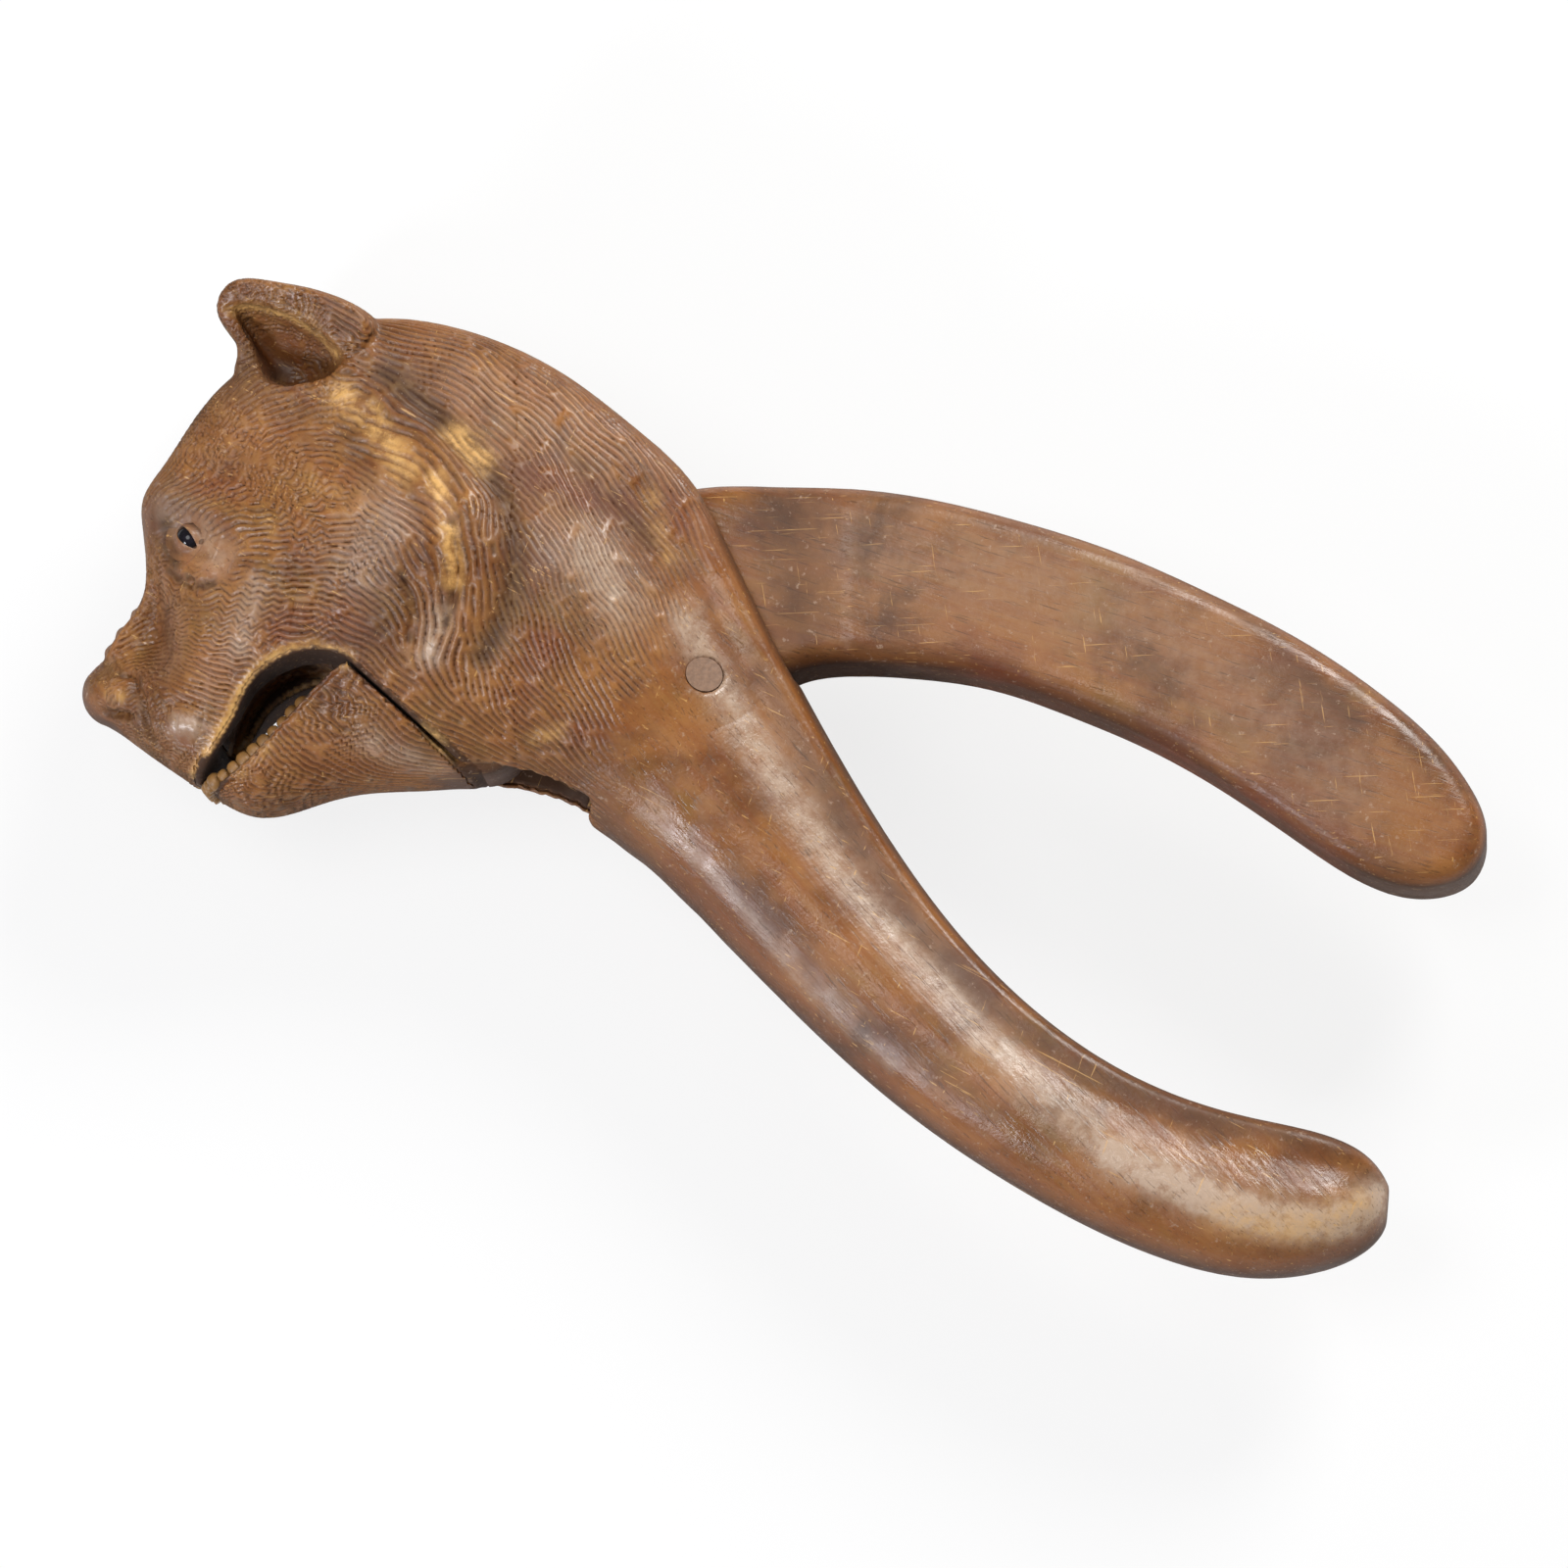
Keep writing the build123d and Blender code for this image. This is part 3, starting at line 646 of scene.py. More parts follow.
def read_mark(mesh, name):
    values = np.empty(len(mesh.vertices), np.float32)
    mesh.attributes[name].data.foreach_get("value", values)
    return values.astype(float)


def eased(values, mesh, rounds=2):
    """Values on a mesh's corner points, evened out between neighbours."""
    edges = edge_ends(mesh)
    count = np.bincount(edges.ravel(), minlength=len(values))
    for _ in range(rounds):
        total = (np.bincount(edges[:, 0], values[edges[:, 1]], len(values))
                 + np.bincount(edges[:, 1], values[edges[:, 0]], len(values)))
        values = np.where(values > 0, (values + total / count) / 2, 0)
    return values


# Marks of wear and stain

def seated(line, wood):
    """A smooth line through places on the left cheek, each set on the wood that it stands for."""
    places = []
    for x, y, z in line:
        if z > 0 and wood:
            hit = wood.ray_cast(HINGE + Vector((x, y, BESIDE)) * MM, Vector((0, 0, -1)))[0]
            if hit and abs((hit.z - HINGE.z) / MM - z) < SEAT_REACH:
                z = (hit.z - HINGE.z) / MM
        places.append((x, y, z))
    return smooth_line(places)


def near_line(rel, line, reach):
    """Numbers of the points in the box round a line, three reaches wide to each side."""
    low, high = line.min(axis=0) - 3 * reach, line.max(axis=0) + 3 * reach
    return np.flatnonzero(((rel > low) & (rel < high)).all(axis=1))


def marked(rel, places, wood):
    """How strongly each point is marked by a list of places."""
    mark = np.zeros(len(rel))
    for line, reach, strength in places:
        line = seated(line, wood)
        near = near_line(rel, line, reach)
        d, _ = line_distance(rel[near], line)
        mark[near] = np.maximum(mark[near], strength * np.exp(-(d / reach) ** 2))
    return mark


def finish_marks(points, inside, wood=None):
    """Marks for each point: wear and painted highlight, stain and painted shade, red stain, bloom and
    painted sheen.
    """
    rel = folded(points)
    lip = np.exp(-(profile_distance(rel, smooth_line(LIP_LINE)) / LIP_WEAR_REACH) ** 2)
    lip = lip * (rel[:, 1] > LIP_WEAR_ABOVE) * (rel[:, 2] > LIP_WEAR_BESIDE)
    cuts = [FACE_FORMS[name] for name in STAINED_AND_SHADED_FORMS]
    stain_and_shade = marked(rel, [(line, width * STAIN_AND_SHADE_SPREAD, FORM_STAIN_AND_SHADE) for line, width, _ in cuts], wood)
    # Points inside the mouth and behind other wood of the lever are darkened wholly as painted shade
    stain_and_shade = np.maximum(np.maximum(stain_and_shade, marked(rel, DARK_PLACES, wood)), INSIDE_SHADE * inside)
    return {
        "wear_and_highlight": np.maximum(marked(rel, WORN_AND_HIGHLIT_PLACES, wood), LIP_WEAR * lip * (1 - inside)),
        "stain_and_shade": stain_and_shade,
        "red": marked(rel, RED_PLACES, wood),
        "bloom_and_sheen": marked(rel, BLOOM_AND_SHEEN_PLACES, wood),
    }


# Carving

def face_relief(body, rel, free, wood):
    """Height in millimetres of the carved forms of the face at each point; the jaw has none."""
    height = np.zeros(len(rel))
    if body == "jaw":
        return height
    sizes = bpy.context.scene.nut_carving
    for name, (line, width, rise) in FACE_FORMS.items():
        # The socket lies over the glass eye's hole, so it stays where it is given
        line = seated(line, None if name == "eye_socket" else wood)
        near = near_line(rel, line, width)
        d, along = line_distance(rel[near], line)
        taper = np.clip(np.minimum(along, 1 - along) * TAPER, TAPER_END, 1)
        height[near] += rise * taper * np.exp(-(d / width) ** 2)
    for y in BRIDGE_WRINKLES:
        hit = wood.ray_cast(HINGE + Vector((BEFORE, y, 0)) * MM, Vector((1, 0, 0)))[0]
        d = np.hypot(rel[:, 0] - (hit.x - HINGE.x) / MM, rel[:, 1] - y)
        across = smooth_step(rel[:, 2], WRINKLE_HALF_WIDTH, 0)
        height += sizes.wrinkle_height / MM * across * np.exp(-(d / (sizes.wrinkle_width / MM)) ** 2)
    return height * sizes.relief * free


def open_mark(rel, points, normals, wood, reach=0.03, lift=0.0003):
    """True on the handle, on the ear's face and where no wood of the lever stands before it."""
    free = np.ones(len(points), bool)
    for i in np.flatnonzero(rel[:, 0] < HANDLE_START):
        way = Vector(normals[i])
        free[i] = wood.ray_cast(Vector(points[i]) + way * lift, way, reach)[0] is None
    outward = normals[:, 2] * np.sign(points[:, 2] - HINGE.z)
    ear = (np.linalg.norm(rel - np.array(EAR_MIDDLE), axis=1) < EAR_REACH) & (rel[:, 1] > EAR_FOOT)
    return free | (ear & (outward > EAR_FACING))


def cut_faces(rel, normals, lines, reach=0.9, upright=0.75):
    """True on the sawn faces of the mouth, which run straight through from cheek to cheek."""
    nearest = np.min([profile_distance(rel, line) for line in lines], axis=0)
    return (nearest < reach) & (np.abs(normals[:, 2]) < upright)


def neck_distance(rel, fur_end):
    """Millimetres by which a point lies before the ragged line where the fur ends."""
    line = np.array(fur_end, float)
    order = np.argsort(line[:, 1])
    limit = np.interp(rel[:, 1], line[order, 1], line[order, 0])
    along_y, along_z, across = END_TURNS
    ragged = END_SWING * np.sin(rel[:, 1] * along_y) * np.sin(rel[:, 2] * along_z + rel[:, 1] * across)
    return limit - rel[:, 0] + ragged


def cover_mark(rel, free, cut, lines, fur_end):
    """Where the finely carved skin lies over the plain wood, from 0 to 1."""
    cover = free.astype(float)
    cover[cut] = 0
    for line in lines:
        cover *= smooth_step(profile_distance(rel, line), *SKIN_AT_CUT)
    return cover * smooth_step(neck_distance(rel, fur_end), *SKIN_AT_NECK)


def fur_mark(rel, cover, fur_end):
    """How deep the fur's cuts go at each point of the skin, from 0 to 1."""
    fur = smooth_step(cover, *FUR_IN_SKIN)
    low, high = FUR_ROUND_PLACE
    for middle, reach in SMOOTH_PLACES:
        d = np.linalg.norm(rel - np.array(middle), axis=1)
        fur *= smooth_step(d, reach * low, reach * high)
    fur *= smooth_step(profile_distance(rel, smooth_line(LIP_LINE)), *FUR_AT_LIP)
    return fur * smooth_step(neck_distance(rel, fur_end), *FUR_AT_NECK)


def flow_angle(rel, guides):
    """Angle of the gouge's way above the x axis at each point."""
    total = np.zeros(len(rel))
    weights = np.zeros(len(rel))
    for place, angle in guides:
        weight = 1 / (((rel - np.array(place)) ** 2 @ PROFILE_FIRST) + GUIDE_SPREAD) ** GUIDE_FADE
        total += weight * math.radians(angle)
        weights += weight
    for swing, x_length, y_length in MEANDERS:
        total += weights * swing * np.sin(rel[:, 0] / x_length
                                          + MEANDER_BEND * np.sin(rel[:, 1] / y_length))
    return total / weights


def stroke_size(rel):
    """Size of the gouge strokes at each point beside the usual one."""
    size = np.ones(len(rel))
    for middle, reach, share in STROKE_SIZES:
        size += (share - 1) * np.exp(-(((rel - np.array(middle)) ** 2) @ PROFILE_FIRST) / reach ** 2)
    return np.clip(size, *STROKE_RANGE)


def neighbours(points, places, reaches):
    """For each place the numbers of the points within its reach."""
    tree = KDTree(len(points))
    for i, point in enumerate(points.tolist()):
        tree.insert(point, i)
    tree.balance()
    return [np.array([hit[1] for hit in tree.find_range(place, reach)], int)
            for place, reach in zip(places.tolist(), reaches.tolist())]


def sway(rel, angle, pitch):
    """Turn of the cuts' waves at each point, large on the face and small on the neck."""
    sizes = bpy.context.scene.nut_fur
    along = rel[:, 0] * np.cos(angle) + rel[:, 1] * np.sin(angle)
    swing = np.sin(along * 2 * math.pi / (sizes.wave_length / MM)
                   + WAVE_BEND * np.sin(rel[:, 1] / WAVE_BEND_LENGTH))
    x_length, y_length = SWING_LENGTHS
    usual = WAVE_USUAL + WAVE_SWING * np.sin(rel[:, 0] / x_length + rel[:, 1] / y_length)
    reach = usual * (CALM_SHARE + (1 - CALM_SHARE) * smooth_step(-rel[:, 0], *CALM_TO_WAVED))
    return 2 * math.pi / pitch * sizes.wave_height / MM * swing * reach


def gouge_cuts(rel, normals, fur, guides):
    """The ridges between gouge cuts that follow the fur: 1 on a ridge, 0 in a cut.

    Many small patches of parallel cuts are scattered over the surface. Each is shifted until it
    runs on from its neighbours, and where they can't agree a cut ends, as under a real gouge.
    """
    sizes = bpy.context.scene.nut_fur
    random = np.random.default_rng(sizes.seed)
    angle = flow_angle(rel, guides)
    flow = np.c_[np.cos(angle), np.sin(angle), np.zeros(len(angle))]
    flow -= (flow * normals).sum(1)[:, None] * normals
    flow /= np.maximum(np.linalg.norm(flow, axis=1), 1e-9)[:, None]
    across = np.cross(normals, flow)
    pitch = stroke_size(rel) * sizes.spacing / MM
    # About one patch starts in a square of one usual spacing, and fewer where strokes are bolder
    chance = PATCH_SHARE * np.median(pitch) ** 2 / pitch ** 2
    seeds = np.flatnonzero((fur > LEAST_FUR) & (random.random(len(rel)) < chance))
    places, ways, rate = rel[seeds], across[seeds], 2 * math.pi / pitch[seeds]
    width = pitch[seeds] * sizes.in_step
    strength = WEAKEST_PATCH + (1 - WEAKEST_PATCH) * random.random(len(seeds))
    phase = random.random(len(seeds)) * 2 * math.pi
    near = neighbours(places, places, width * STEER_WIDTHS)
    home = np.repeat(np.arange(len(seeds)), [len(found) for found in near])
    other = np.concatenate(near)
    gap = places[home] - places[other]
    pull = np.exp(-(gap ** 2).sum(1) / (2 * width[other] ** 2))
    lead = rate[other] * (gap * ways[other]).sum(1)
    for _ in range(STEERINGS):
        wave = pull * np.exp(1j * (phase[other] + lead))
        steer = (np.bincount(home, wave.real, len(seeds))
                 + 1j * np.bincount(home, wave.imag, len(seeds)))
        phase = np.angle(steer + np.exp(1j * phase))
    total = np.zeros(len(rel), complex)
    weights = np.full(len(rel), 1e-6)
    for i, found in enumerate(neighbours(rel, places, width * CUT_WIDTHS)):
        gap = rel[found] - places[i]
        pull = np.exp(-(gap ** 2).sum(1) / (2 * width[i] ** 2))
        total[found] += strength[i] * pull * np.exp(1j * (phase[i] + rate[i] * (gap @ ways[i])))
        weights[found] += pull
    turn = np.angle(total) + sway(rel, angle, pitch)
    ridge = np.abs(np.cos(turn / 2)) ** RIDGE_SHARPNESS
    agreed = smooth_step(np.abs(total) / weights, *AGREEMENT)
    return 1 - agreed * (1 - ridge), pitch


def skin_parts(points, fine_faces, faces, edges, marks, parts, name, material):
    """The carved skin as closed shells, one for each part that the coarse faces are sorted into.

    The points are the fine corners, first of them those of the coarse faces, then those halfway
    along the coarse edges and in the middles of the coarse faces, and at the end the corners of
    the shell's underside, one below each coarse corner.
    """
    count = int(faces.max()) + 1
    below = len(points) - count
    keys = edges.min(axis=1) * count + edges.max(axis=1)
    order = np.argsort(keys)
    home = fine_faces.max(axis=1) - count - len(edges)
    made = []
    for part in np.unique(parts):
        own = faces[parts == part]
        first, second = own.ravel(), np.roll(own, -1, axis=1).ravel()
        border = ~np.isin(first * count + second, second * count + first)
        a, b = first[border], second[border]
        key = np.minimum(a, b) * count + np.maximum(a, b)
        halfway = count + order[np.searchsorted(keys[order], key)]
        rim = np.c_[b, halfway, a, a + below, b + below]
        top = fine_faces[parts[home] == part]
        floor = own[:, ::-1] + below
        used, numbers = np.unique(np.concatenate([top.ravel(), floor.ravel(), rim.ravel()]),
                                  return_inverse=True)
        top, floor, rim = np.split(numbers, [top.size, top.size + floor.size])
        polygons = (top.reshape(-1, 4).tolist() + floor.reshape(-1, 4).tolist()
                    + rim.reshape(-1, 5).tolist())
        mesh = new_mesh(name, points[used].tolist(), polygons)
        mesh.set_sharp_from_angle(angle=math.radians(SHARP))
        write_marks(mesh, {mark: values[used] for mark, values in marks.items()})
        mesh.materials.append(material)
        made.append(new_object(name + SKIN_PARTS[part], mesh))
    return made


def carved_wood(body, node, name, lines, fur_end):
    """One lever's plain wood, and the finer surface that its skin is carved from."""
    scene = bpy.context.scene
    piece = remeshed(node, scene.nut_carving.voxel, name)
    mesh = piece.data
    points, normals = vectors(mesh, "co"), vectors(mesh, "normal")
    rel = folded(points)
    wood = BVHTree.FromPolygons([Vector(p) for p in points],
                                [tuple(face.vertices) for face in mesh.polygons])
    free = open_mark(rel, points, normals, wood)
    cut = cut_faces(rel, normals, lines)
    cover = eased(cover_mark(rel, free, cut, lines, fur_end), mesh)
    write_marks(mesh, {"cover": cover, "free": free})
    skin = cut_out(piece, cover, name + "_skin")

    height = face_relief(body, rel, free, wood) - cover * scene.nut_fur.sunk / MM
    points = points + normals * (height * MM)[:, None]
    mesh.vertices.foreach_set("co", points.ravel())
    shade_smooth(mesh)
    # Sawn faces, wood hidden behind the lever's own wood and the wood under the skin get painted shade
    marks = finish_marks(points, (~free | cut).astype(float), wood)
    marks["stain_and_shade"] = np.maximum(marks["stain_and_shade"], cover * UNDER_SKIN_SHADE)
    write_marks(mesh, marks)
    mesh.materials.append(wood_of(body))
    return thinned(piece, name), skin, wood


def carved_skin(body, skin, wood, name, guides, fur_end):
    """The skin with its forms and gouge cuts, as closed shells."""
    sizes = bpy.context.scene.nut_fur
    faces, edges = quads(skin.data), edge_ends(skin.data)
    finer = skin.modifiers.new("finer", "SUBSURF")
    finer.levels = 1
    finer.render_levels = 1
    skin = applied(skin, name + "_skin")
    base, normals = vectors(skin.data, "co"), vectors(skin.data, "normal")
    fine_faces = quads(skin.data)
    cover, free = read_mark(skin.data, "cover"), read_mark(skin.data, "free")
    bpy.data.objects.remove(skin)

    rel = folded(base)
    base = base + normals * (face_relief(body, rel, free, wood) * MM)[:, None]
    fur = fur_mark(rel, cover, fur_end)
    side = np.sign(base[:, 2] - HINGE.z)
    ridge, pitch = gouge_cuts(rel, normals * np.c_[np.ones((len(side), 2)), side], fur, guides)
    # The bottom of the ear's hollow is darkened as painted shade, through the mark for the inside
    pit = np.linalg.norm(rel - np.array(EAR_PIT), axis=1)
    marks = finish_marks(base, np.exp(-(pit / EAR_PIT_REACH) ** 2), wood)
    fur_left = fur * np.clip(1 - WORN_AWAY * marks["wear_and_highlight"], LEAST_KEPT, 1)
    lift = fur_left * pitch * sizes.depth * (ridge - 0.5) - EDGE_SINK * (1 - cover) ** 2
    # The cuts are darkened with stain and painted shade; the crests are lightened with wear and a
    # painted highlight
    marks["stain_and_shade"] = np.maximum(marks["stain_and_shade"], CUT_STAIN_AND_SHADE * fur_left * (1 - ridge))
    marks["wear_and_highlight"] = np.maximum(marks["wear_and_highlight"] * (1 - UNWORN_IN_CUT * fur * (1 - ridge)),
                               CREST_WEAR_AND_HIGHLIGHT * fur * ridge ** 3)
    top = base + normals * (lift * MM)[:, None]
    corners = int(faces.max()) + 1
    floor = base[:corners] - normals[:corners] * sizes.skin
    marks = {mark: np.concatenate([values, values[:corners]]) for mark, values in marks.items()}
    if body == "head":
        parts = np.digitize(rel[faces].mean(axis=1)[:, 0], SKIN_SPLITS)
        parts[side[faces[:, 0]] <= 0] += RIGHT_PARTS
    else:
        parts = np.full(len(faces), len(SKIN_PARTS) - 1)
    return skin_parts(np.vstack([top, floor]), fine_faces, faces, edges, marks, parts,
                      name + "_fur", wood_of(body))


def carve_lever(body, node, name, guides, lines, fur_end):
    """Carve one wooden lever and lay the finely cut skin over it."""
    piece, skin, wood = carved_wood(body, node, name, lines, fur_end)
    shells = carved_skin(body, skin, wood, name, guides, fur_end)
    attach(piece, body)
    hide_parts(node)
    for shell in shells:
        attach(shell, body)


# Node trees

def put(tree, kind, inputs=None, **settings):
    """A node with its settings, and its inputs set or joined to other nodes."""
    node = tree.nodes.new(kind)
    for name, value in settings.items():
        setattr(node, name, value)
    for name, value in (inputs or {}).items():
        if isinstance(value, bpy.types.NodeSocket):
            tree.links.new(value, node.inputs[name])
        else:
            node.inputs[name].default_value = value
    return node


def tooth_tree():
    """Sets teeth along a curve, each standing on it and turned with it."""
    tree = bpy.data.node_groups.new("tooth_row", "GeometryNodeTree")
    for name, kind in (("Geometry", "Geometry"), ("Spacing", "Float"), ("Tooth", "Object"),
                       ("Seed", "Int"), ("Material", "Material")):
        tree.interface.new_socket(name=name, in_out="INPUT", socket_type="NodeSocket" + kind)
    tree.interface.new_socket(name="Geometry", in_out="OUTPUT", socket_type="NodeSocketGeometry")
    start = tree.nodes.new("NodeGroupInput").outputs
    curve = put(tree, "GeometryNodeMeshToCurve", {"Mesh": start["Geometry"]})
    points = put(tree, "GeometryNodeCurveToPoints",
                 {"Curve": curve.outputs["Curve"], "Length": start["Spacing"]}, mode="LENGTH")
    tooth = put(tree, "GeometryNodeObjectInfo", {"Object": start["Tooth"]})
    least, most = TOOTH_SPREAD
    size = put(tree, "FunctionNodeRandomValue", {"Min": least, "Max": most, "Seed": start["Seed"]},
               data_type="FLOAT")
    row = put(tree, "GeometryNodeInstanceOnPoints",
              {"Points": points.outputs["Points"], "Instance": tooth.outputs["Geometry"],
               "Scale": size.outputs["Value"]})
    real = put(tree, "GeometryNodeRealizeInstances", {"Geometry": row.outputs["Instances"]})
    coated = put(tree, "GeometryNodeSetMaterial",
                 {"Geometry": real.outputs["Geometry"], "Material": start["Material"]})
    put(tree, "NodeGroupOutput", {"Geometry": coated.outputs["Geometry"]})
    return tree


def run_tree(piece, tree, name, inputs):
    """Run a node tree on a piece and return its result as a plain mesh object."""
    modifier = piece.modifiers.new(name, "NODES")
    modifier.node_group = tree
    for socket in tree.interface.items_tree:
        if socket.in_out == "INPUT" and socket.name in inputs:
            modifier[socket.identifier] = inputs[socket.name]
    return applied(piece, name)


# Materials

def blended(tree, factor, first, second):
    """Colour that goes from the first to the second with the factor."""
    first, second = (value if isinstance(value, bpy.types.NodeSocket) else (*value, 1.0)
                     for value in (first, second))
    return put(tree, "ShaderNodeMix", {0: factor, 6: first, 7: second}, data_type="RGBA").outputs[2]


def counted(tree, operation, first, second=0.5):
    return put(tree, "ShaderNodeMath", {0: first, 1: second}, operation=operation).outputs[0]


def times(tree, first, second):
    return counted(tree, "MULTIPLY", first, second)


def plus(tree, first, second):
    return counted(tree, "ADD", first, second)


def spread(tree, value, low, high, least=0.0, most=1.0, kind="LINEAR"):
    """The value turned into least where it is low and into most where it is high."""
    return put(tree, "ShaderNodeMapRange",
               {"Value": value, "From Min": low, "From Max": high, "To Min": least, "To Max": most},
               interpolation_type=kind).outputs["Result"]


def speckled(tree, place, scale, low, high, detail=4.0, roughness=0.6, distortion=0.0):
    """Noise at a scale, spread from 0 at low to 1 at high."""
    noise = put(tree, "ShaderNodeTexNoise",
                {"Vector": place, "Scale": scale, "Detail": detail, "Roughness": roughness,
                 "Distortion": distortion})
    return spread(tree, noise.outputs["Fac"], low, high, kind="SMOOTHSTEP")


def streaks(tree, place, turn, along, across, low, high):
    """Thin streaks that run one way, such as pores and scratches."""
    turned = put(tree, "ShaderNodeMapping",
                 {"Vector": place, "Rotation": (0, 0, turn),
                  "Scale": (1 / along, 1 / across, 1 / across)}, vector_type="TEXTURE")
    return speckled(tree, turned.outputs["Vector"], 1.0, low, high, 3.0, 0.55)


def new_material(name):
    """A new material, with its node tree, its shader and the place on the object."""
    material = bpy.data.materials.new(name)
    material.use_nodes = True
    tree = material.node_tree
    place = put(tree, "ShaderNodeTexCoord").outputs["Object"]
    return material, tree, tree.nodes["Principled BSDF"], place


def finish(tree, shader, colour, height, strength, distance, values):
    """Join colour and unevenness to a shader and set its other values."""
    tree.links.new(colour, shader.inputs["Base Color"])
    bump = put(tree, "ShaderNodeBump", {"Height": height, "Strength": strength, "Distance": distance})
    tree.links.new(bump.outputs["Normal"], shader.inputs["Normal"])
    for name, value in values.items():
        shader.inputs[name].default_value = value


def varnished_wood(name, turn):
    """Stained walnut under worn varnish, darker in its hollows from stain and painted shade, painted
    darker towards its steep sides, and pale where it is rubbed and where highlights and sheen are
    painted.
    """
    colours = bpy.context.scene.nut_wood
    material, tree, shader, place = new_material(name)
    wear_and_highlight, stain_and_shade, red, bloom_and_sheen = (
        put(tree, "ShaderNodeAttribute", attribute_name=mark).outputs["Fac"]
        for mark in ("wear_and_highlight", "stain_and_shade", "red", "bloom_and_sheen"))
    clouds = {cloud: speckled(tree, place, *values) for cloud, values in CLOUDS.items()}
    lines = {line: streaks(tree, place, turn + lean, *values)
             for line, (lean, *values) in STREAKS.items()}
    scratches = counted(tree, "MAXIMUM", lines["scratches"], lines["cross_scratches"])
    fine = put(tree, "ShaderNodeTexNoise",
               {"Vector": place, "Scale": 1500.0, "Detail": 4.0, "Roughness": 0.6}).outputs["Fac"]

    # The level is 1 on the flat of a cheek or handle and falls to 0 round its edge to the brink;
    # the edge and the brink are painted shade, orange and then dark as the surface turns away
    normal = put(tree, "ShaderNodeNewGeometry").outputs["Normal"]
    level = counted(tree, "ABSOLUTE",
                    put(tree, "ShaderNodeSeparateXYZ", {"Vector": normal}).outputs["Z"])
    edge, shaded_brink = spread(tree, level, *EDGE_SHADE), spread(tree, level, *BRINK_SHADE)

    # Coats one over another: where, how strongly and in what colour
    colour = blended(tree, clouds["umber"], colours.brown, colours.umber)
    for where, share, second in (
            (clouds["olive"], 0.5, colours.olive),
            (lines["grain"], 0.35, colours.russet),
            # Painted shade: orange at the edges and dark at the brink as the surface turns from the
            # top
            (edge, 0.6, colours.orange),
            (shaded_brink, 0.85, colours.dark),
            (red, plus(tree, clouds["umber"], 0.25), colours.russet),
            # Dusty bloom, and painted sheen and highlights
            (bloom_and_sheen, plus(tree, clouds["dust_and_sheen"], 0.4), colours.grey),
            (clouds["dark"], 0.7, colours.dark),
            (lines["pores"], 0.5, colours.dark),
            # Stain and painted shade: hollows, cuts, inside the mouth and under the skin
            (stain_and_shade, 1.0, colours.dark),
            # Wear and painted highlights
            (wear_and_highlight, plus(tree, clouds["ragged"], 0.25), colours.ochre),
            (scratches, 0.5, colours.ochre),
            (clouds["fleck"], 0.42, colours.grey)):
        colour = blended(tree, times(tree, where, share), colour, second)

    dull = plus(tree, times(tree, shaded_brink, 0.3), times(tree, stain_and_shade, 0.5))
    dull = plus(tree, dull, times(tree, edge, 0.1))
    rough = plus(tree, spread(tree, clouds["gloss"], 0.0, 1.0, *VARNISH), dull)
    tree.links.new(rough, shader.inputs["Roughness"])
    fibre = plus(tree, times(tree, lines["grain"], 0.5), fine)
    fibre = counted(tree, "SUBTRACT", fibre, times(tree, lines["pores"], 0.6))
    finish(tree, shader, colour, fibre, 0.22, 0.0003,
           {"Coat Weight": 0.06, "Coat Roughness": 0.28, "Specular IOR Level": 0.45})
    return material


def wood_of(body):
    """The wood of one lever, made once."""
    name = body + "_wood"
    return bpy.data.materials.get(name) or varnished_wood(name, math.radians(GRAIN[body]))


def mottled(name, colour, grain, values, shade=0.7, strength=0.1, distance=0.0002):
    """A small part's finish, mottled a little so that it doesn't look dead."""
    material, tree, shader, place = new_material(name)
    mottle = speckled(tree, place, grain, 0.3, 0.7)
    dark = tuple(value * shade for value in colour)
    finish(tree, shader, blended(tree, mottle, dark, colour), mottle, strength, distance, values)
    return material


def black_glass():
    """Opaque black glass with a polished face."""
    material, tree, shader, place = new_material("black_glass")
    cloud = speckled(tree, place, 500, 0.3, 0.7)
    tree.links.new(blended(tree, cloud, paint(14, 12, 16), paint(30, 26, 34)),
                   shader.inputs["Base Color"])
    shader.inputs["Roughness"].default_value = 0.08
    shader.inputs["Specular IOR Level"].default_value = 0.3
    return material


def dress(node, material):
    """Give a solid its finish."""
    piece = frame["nodes"][node]
    piece.data.materials.clear()
    piece.data.materials.append(material)


# Pieces

class NUTCRACKER_OT_head(bpy.types.Operator):
    """Carve the head, neck and front handle, with the fur over them"""
    bl_idname = "nutcracker.head"
    bl_label = "Head and front handle"

    def execute(self, context):
        carve_lever("head", "head_lever", "bear_head", HEAD_FLOW,
                    [LIP_LINE, SEAT_LINE], HEAD_FUR_END)
        return {"FINISHED"}


class NUTCRACKER_OT_jaw(bpy.types.Operator):
    """Carve the lower jaw and the rear handle, with the fur over the jaw"""
    bl_idname = "nutcracker.jaw"
    bl_label = "Jaw and rear handle"

    def execute(self, context):
        carve_lever("jaw", "jaw_lever", "bear_jaw", JAW_FLOW,
                    [JAW_LINE, SEAT_LINE], JAW_FUR_END)
        return {"FINISHED"}


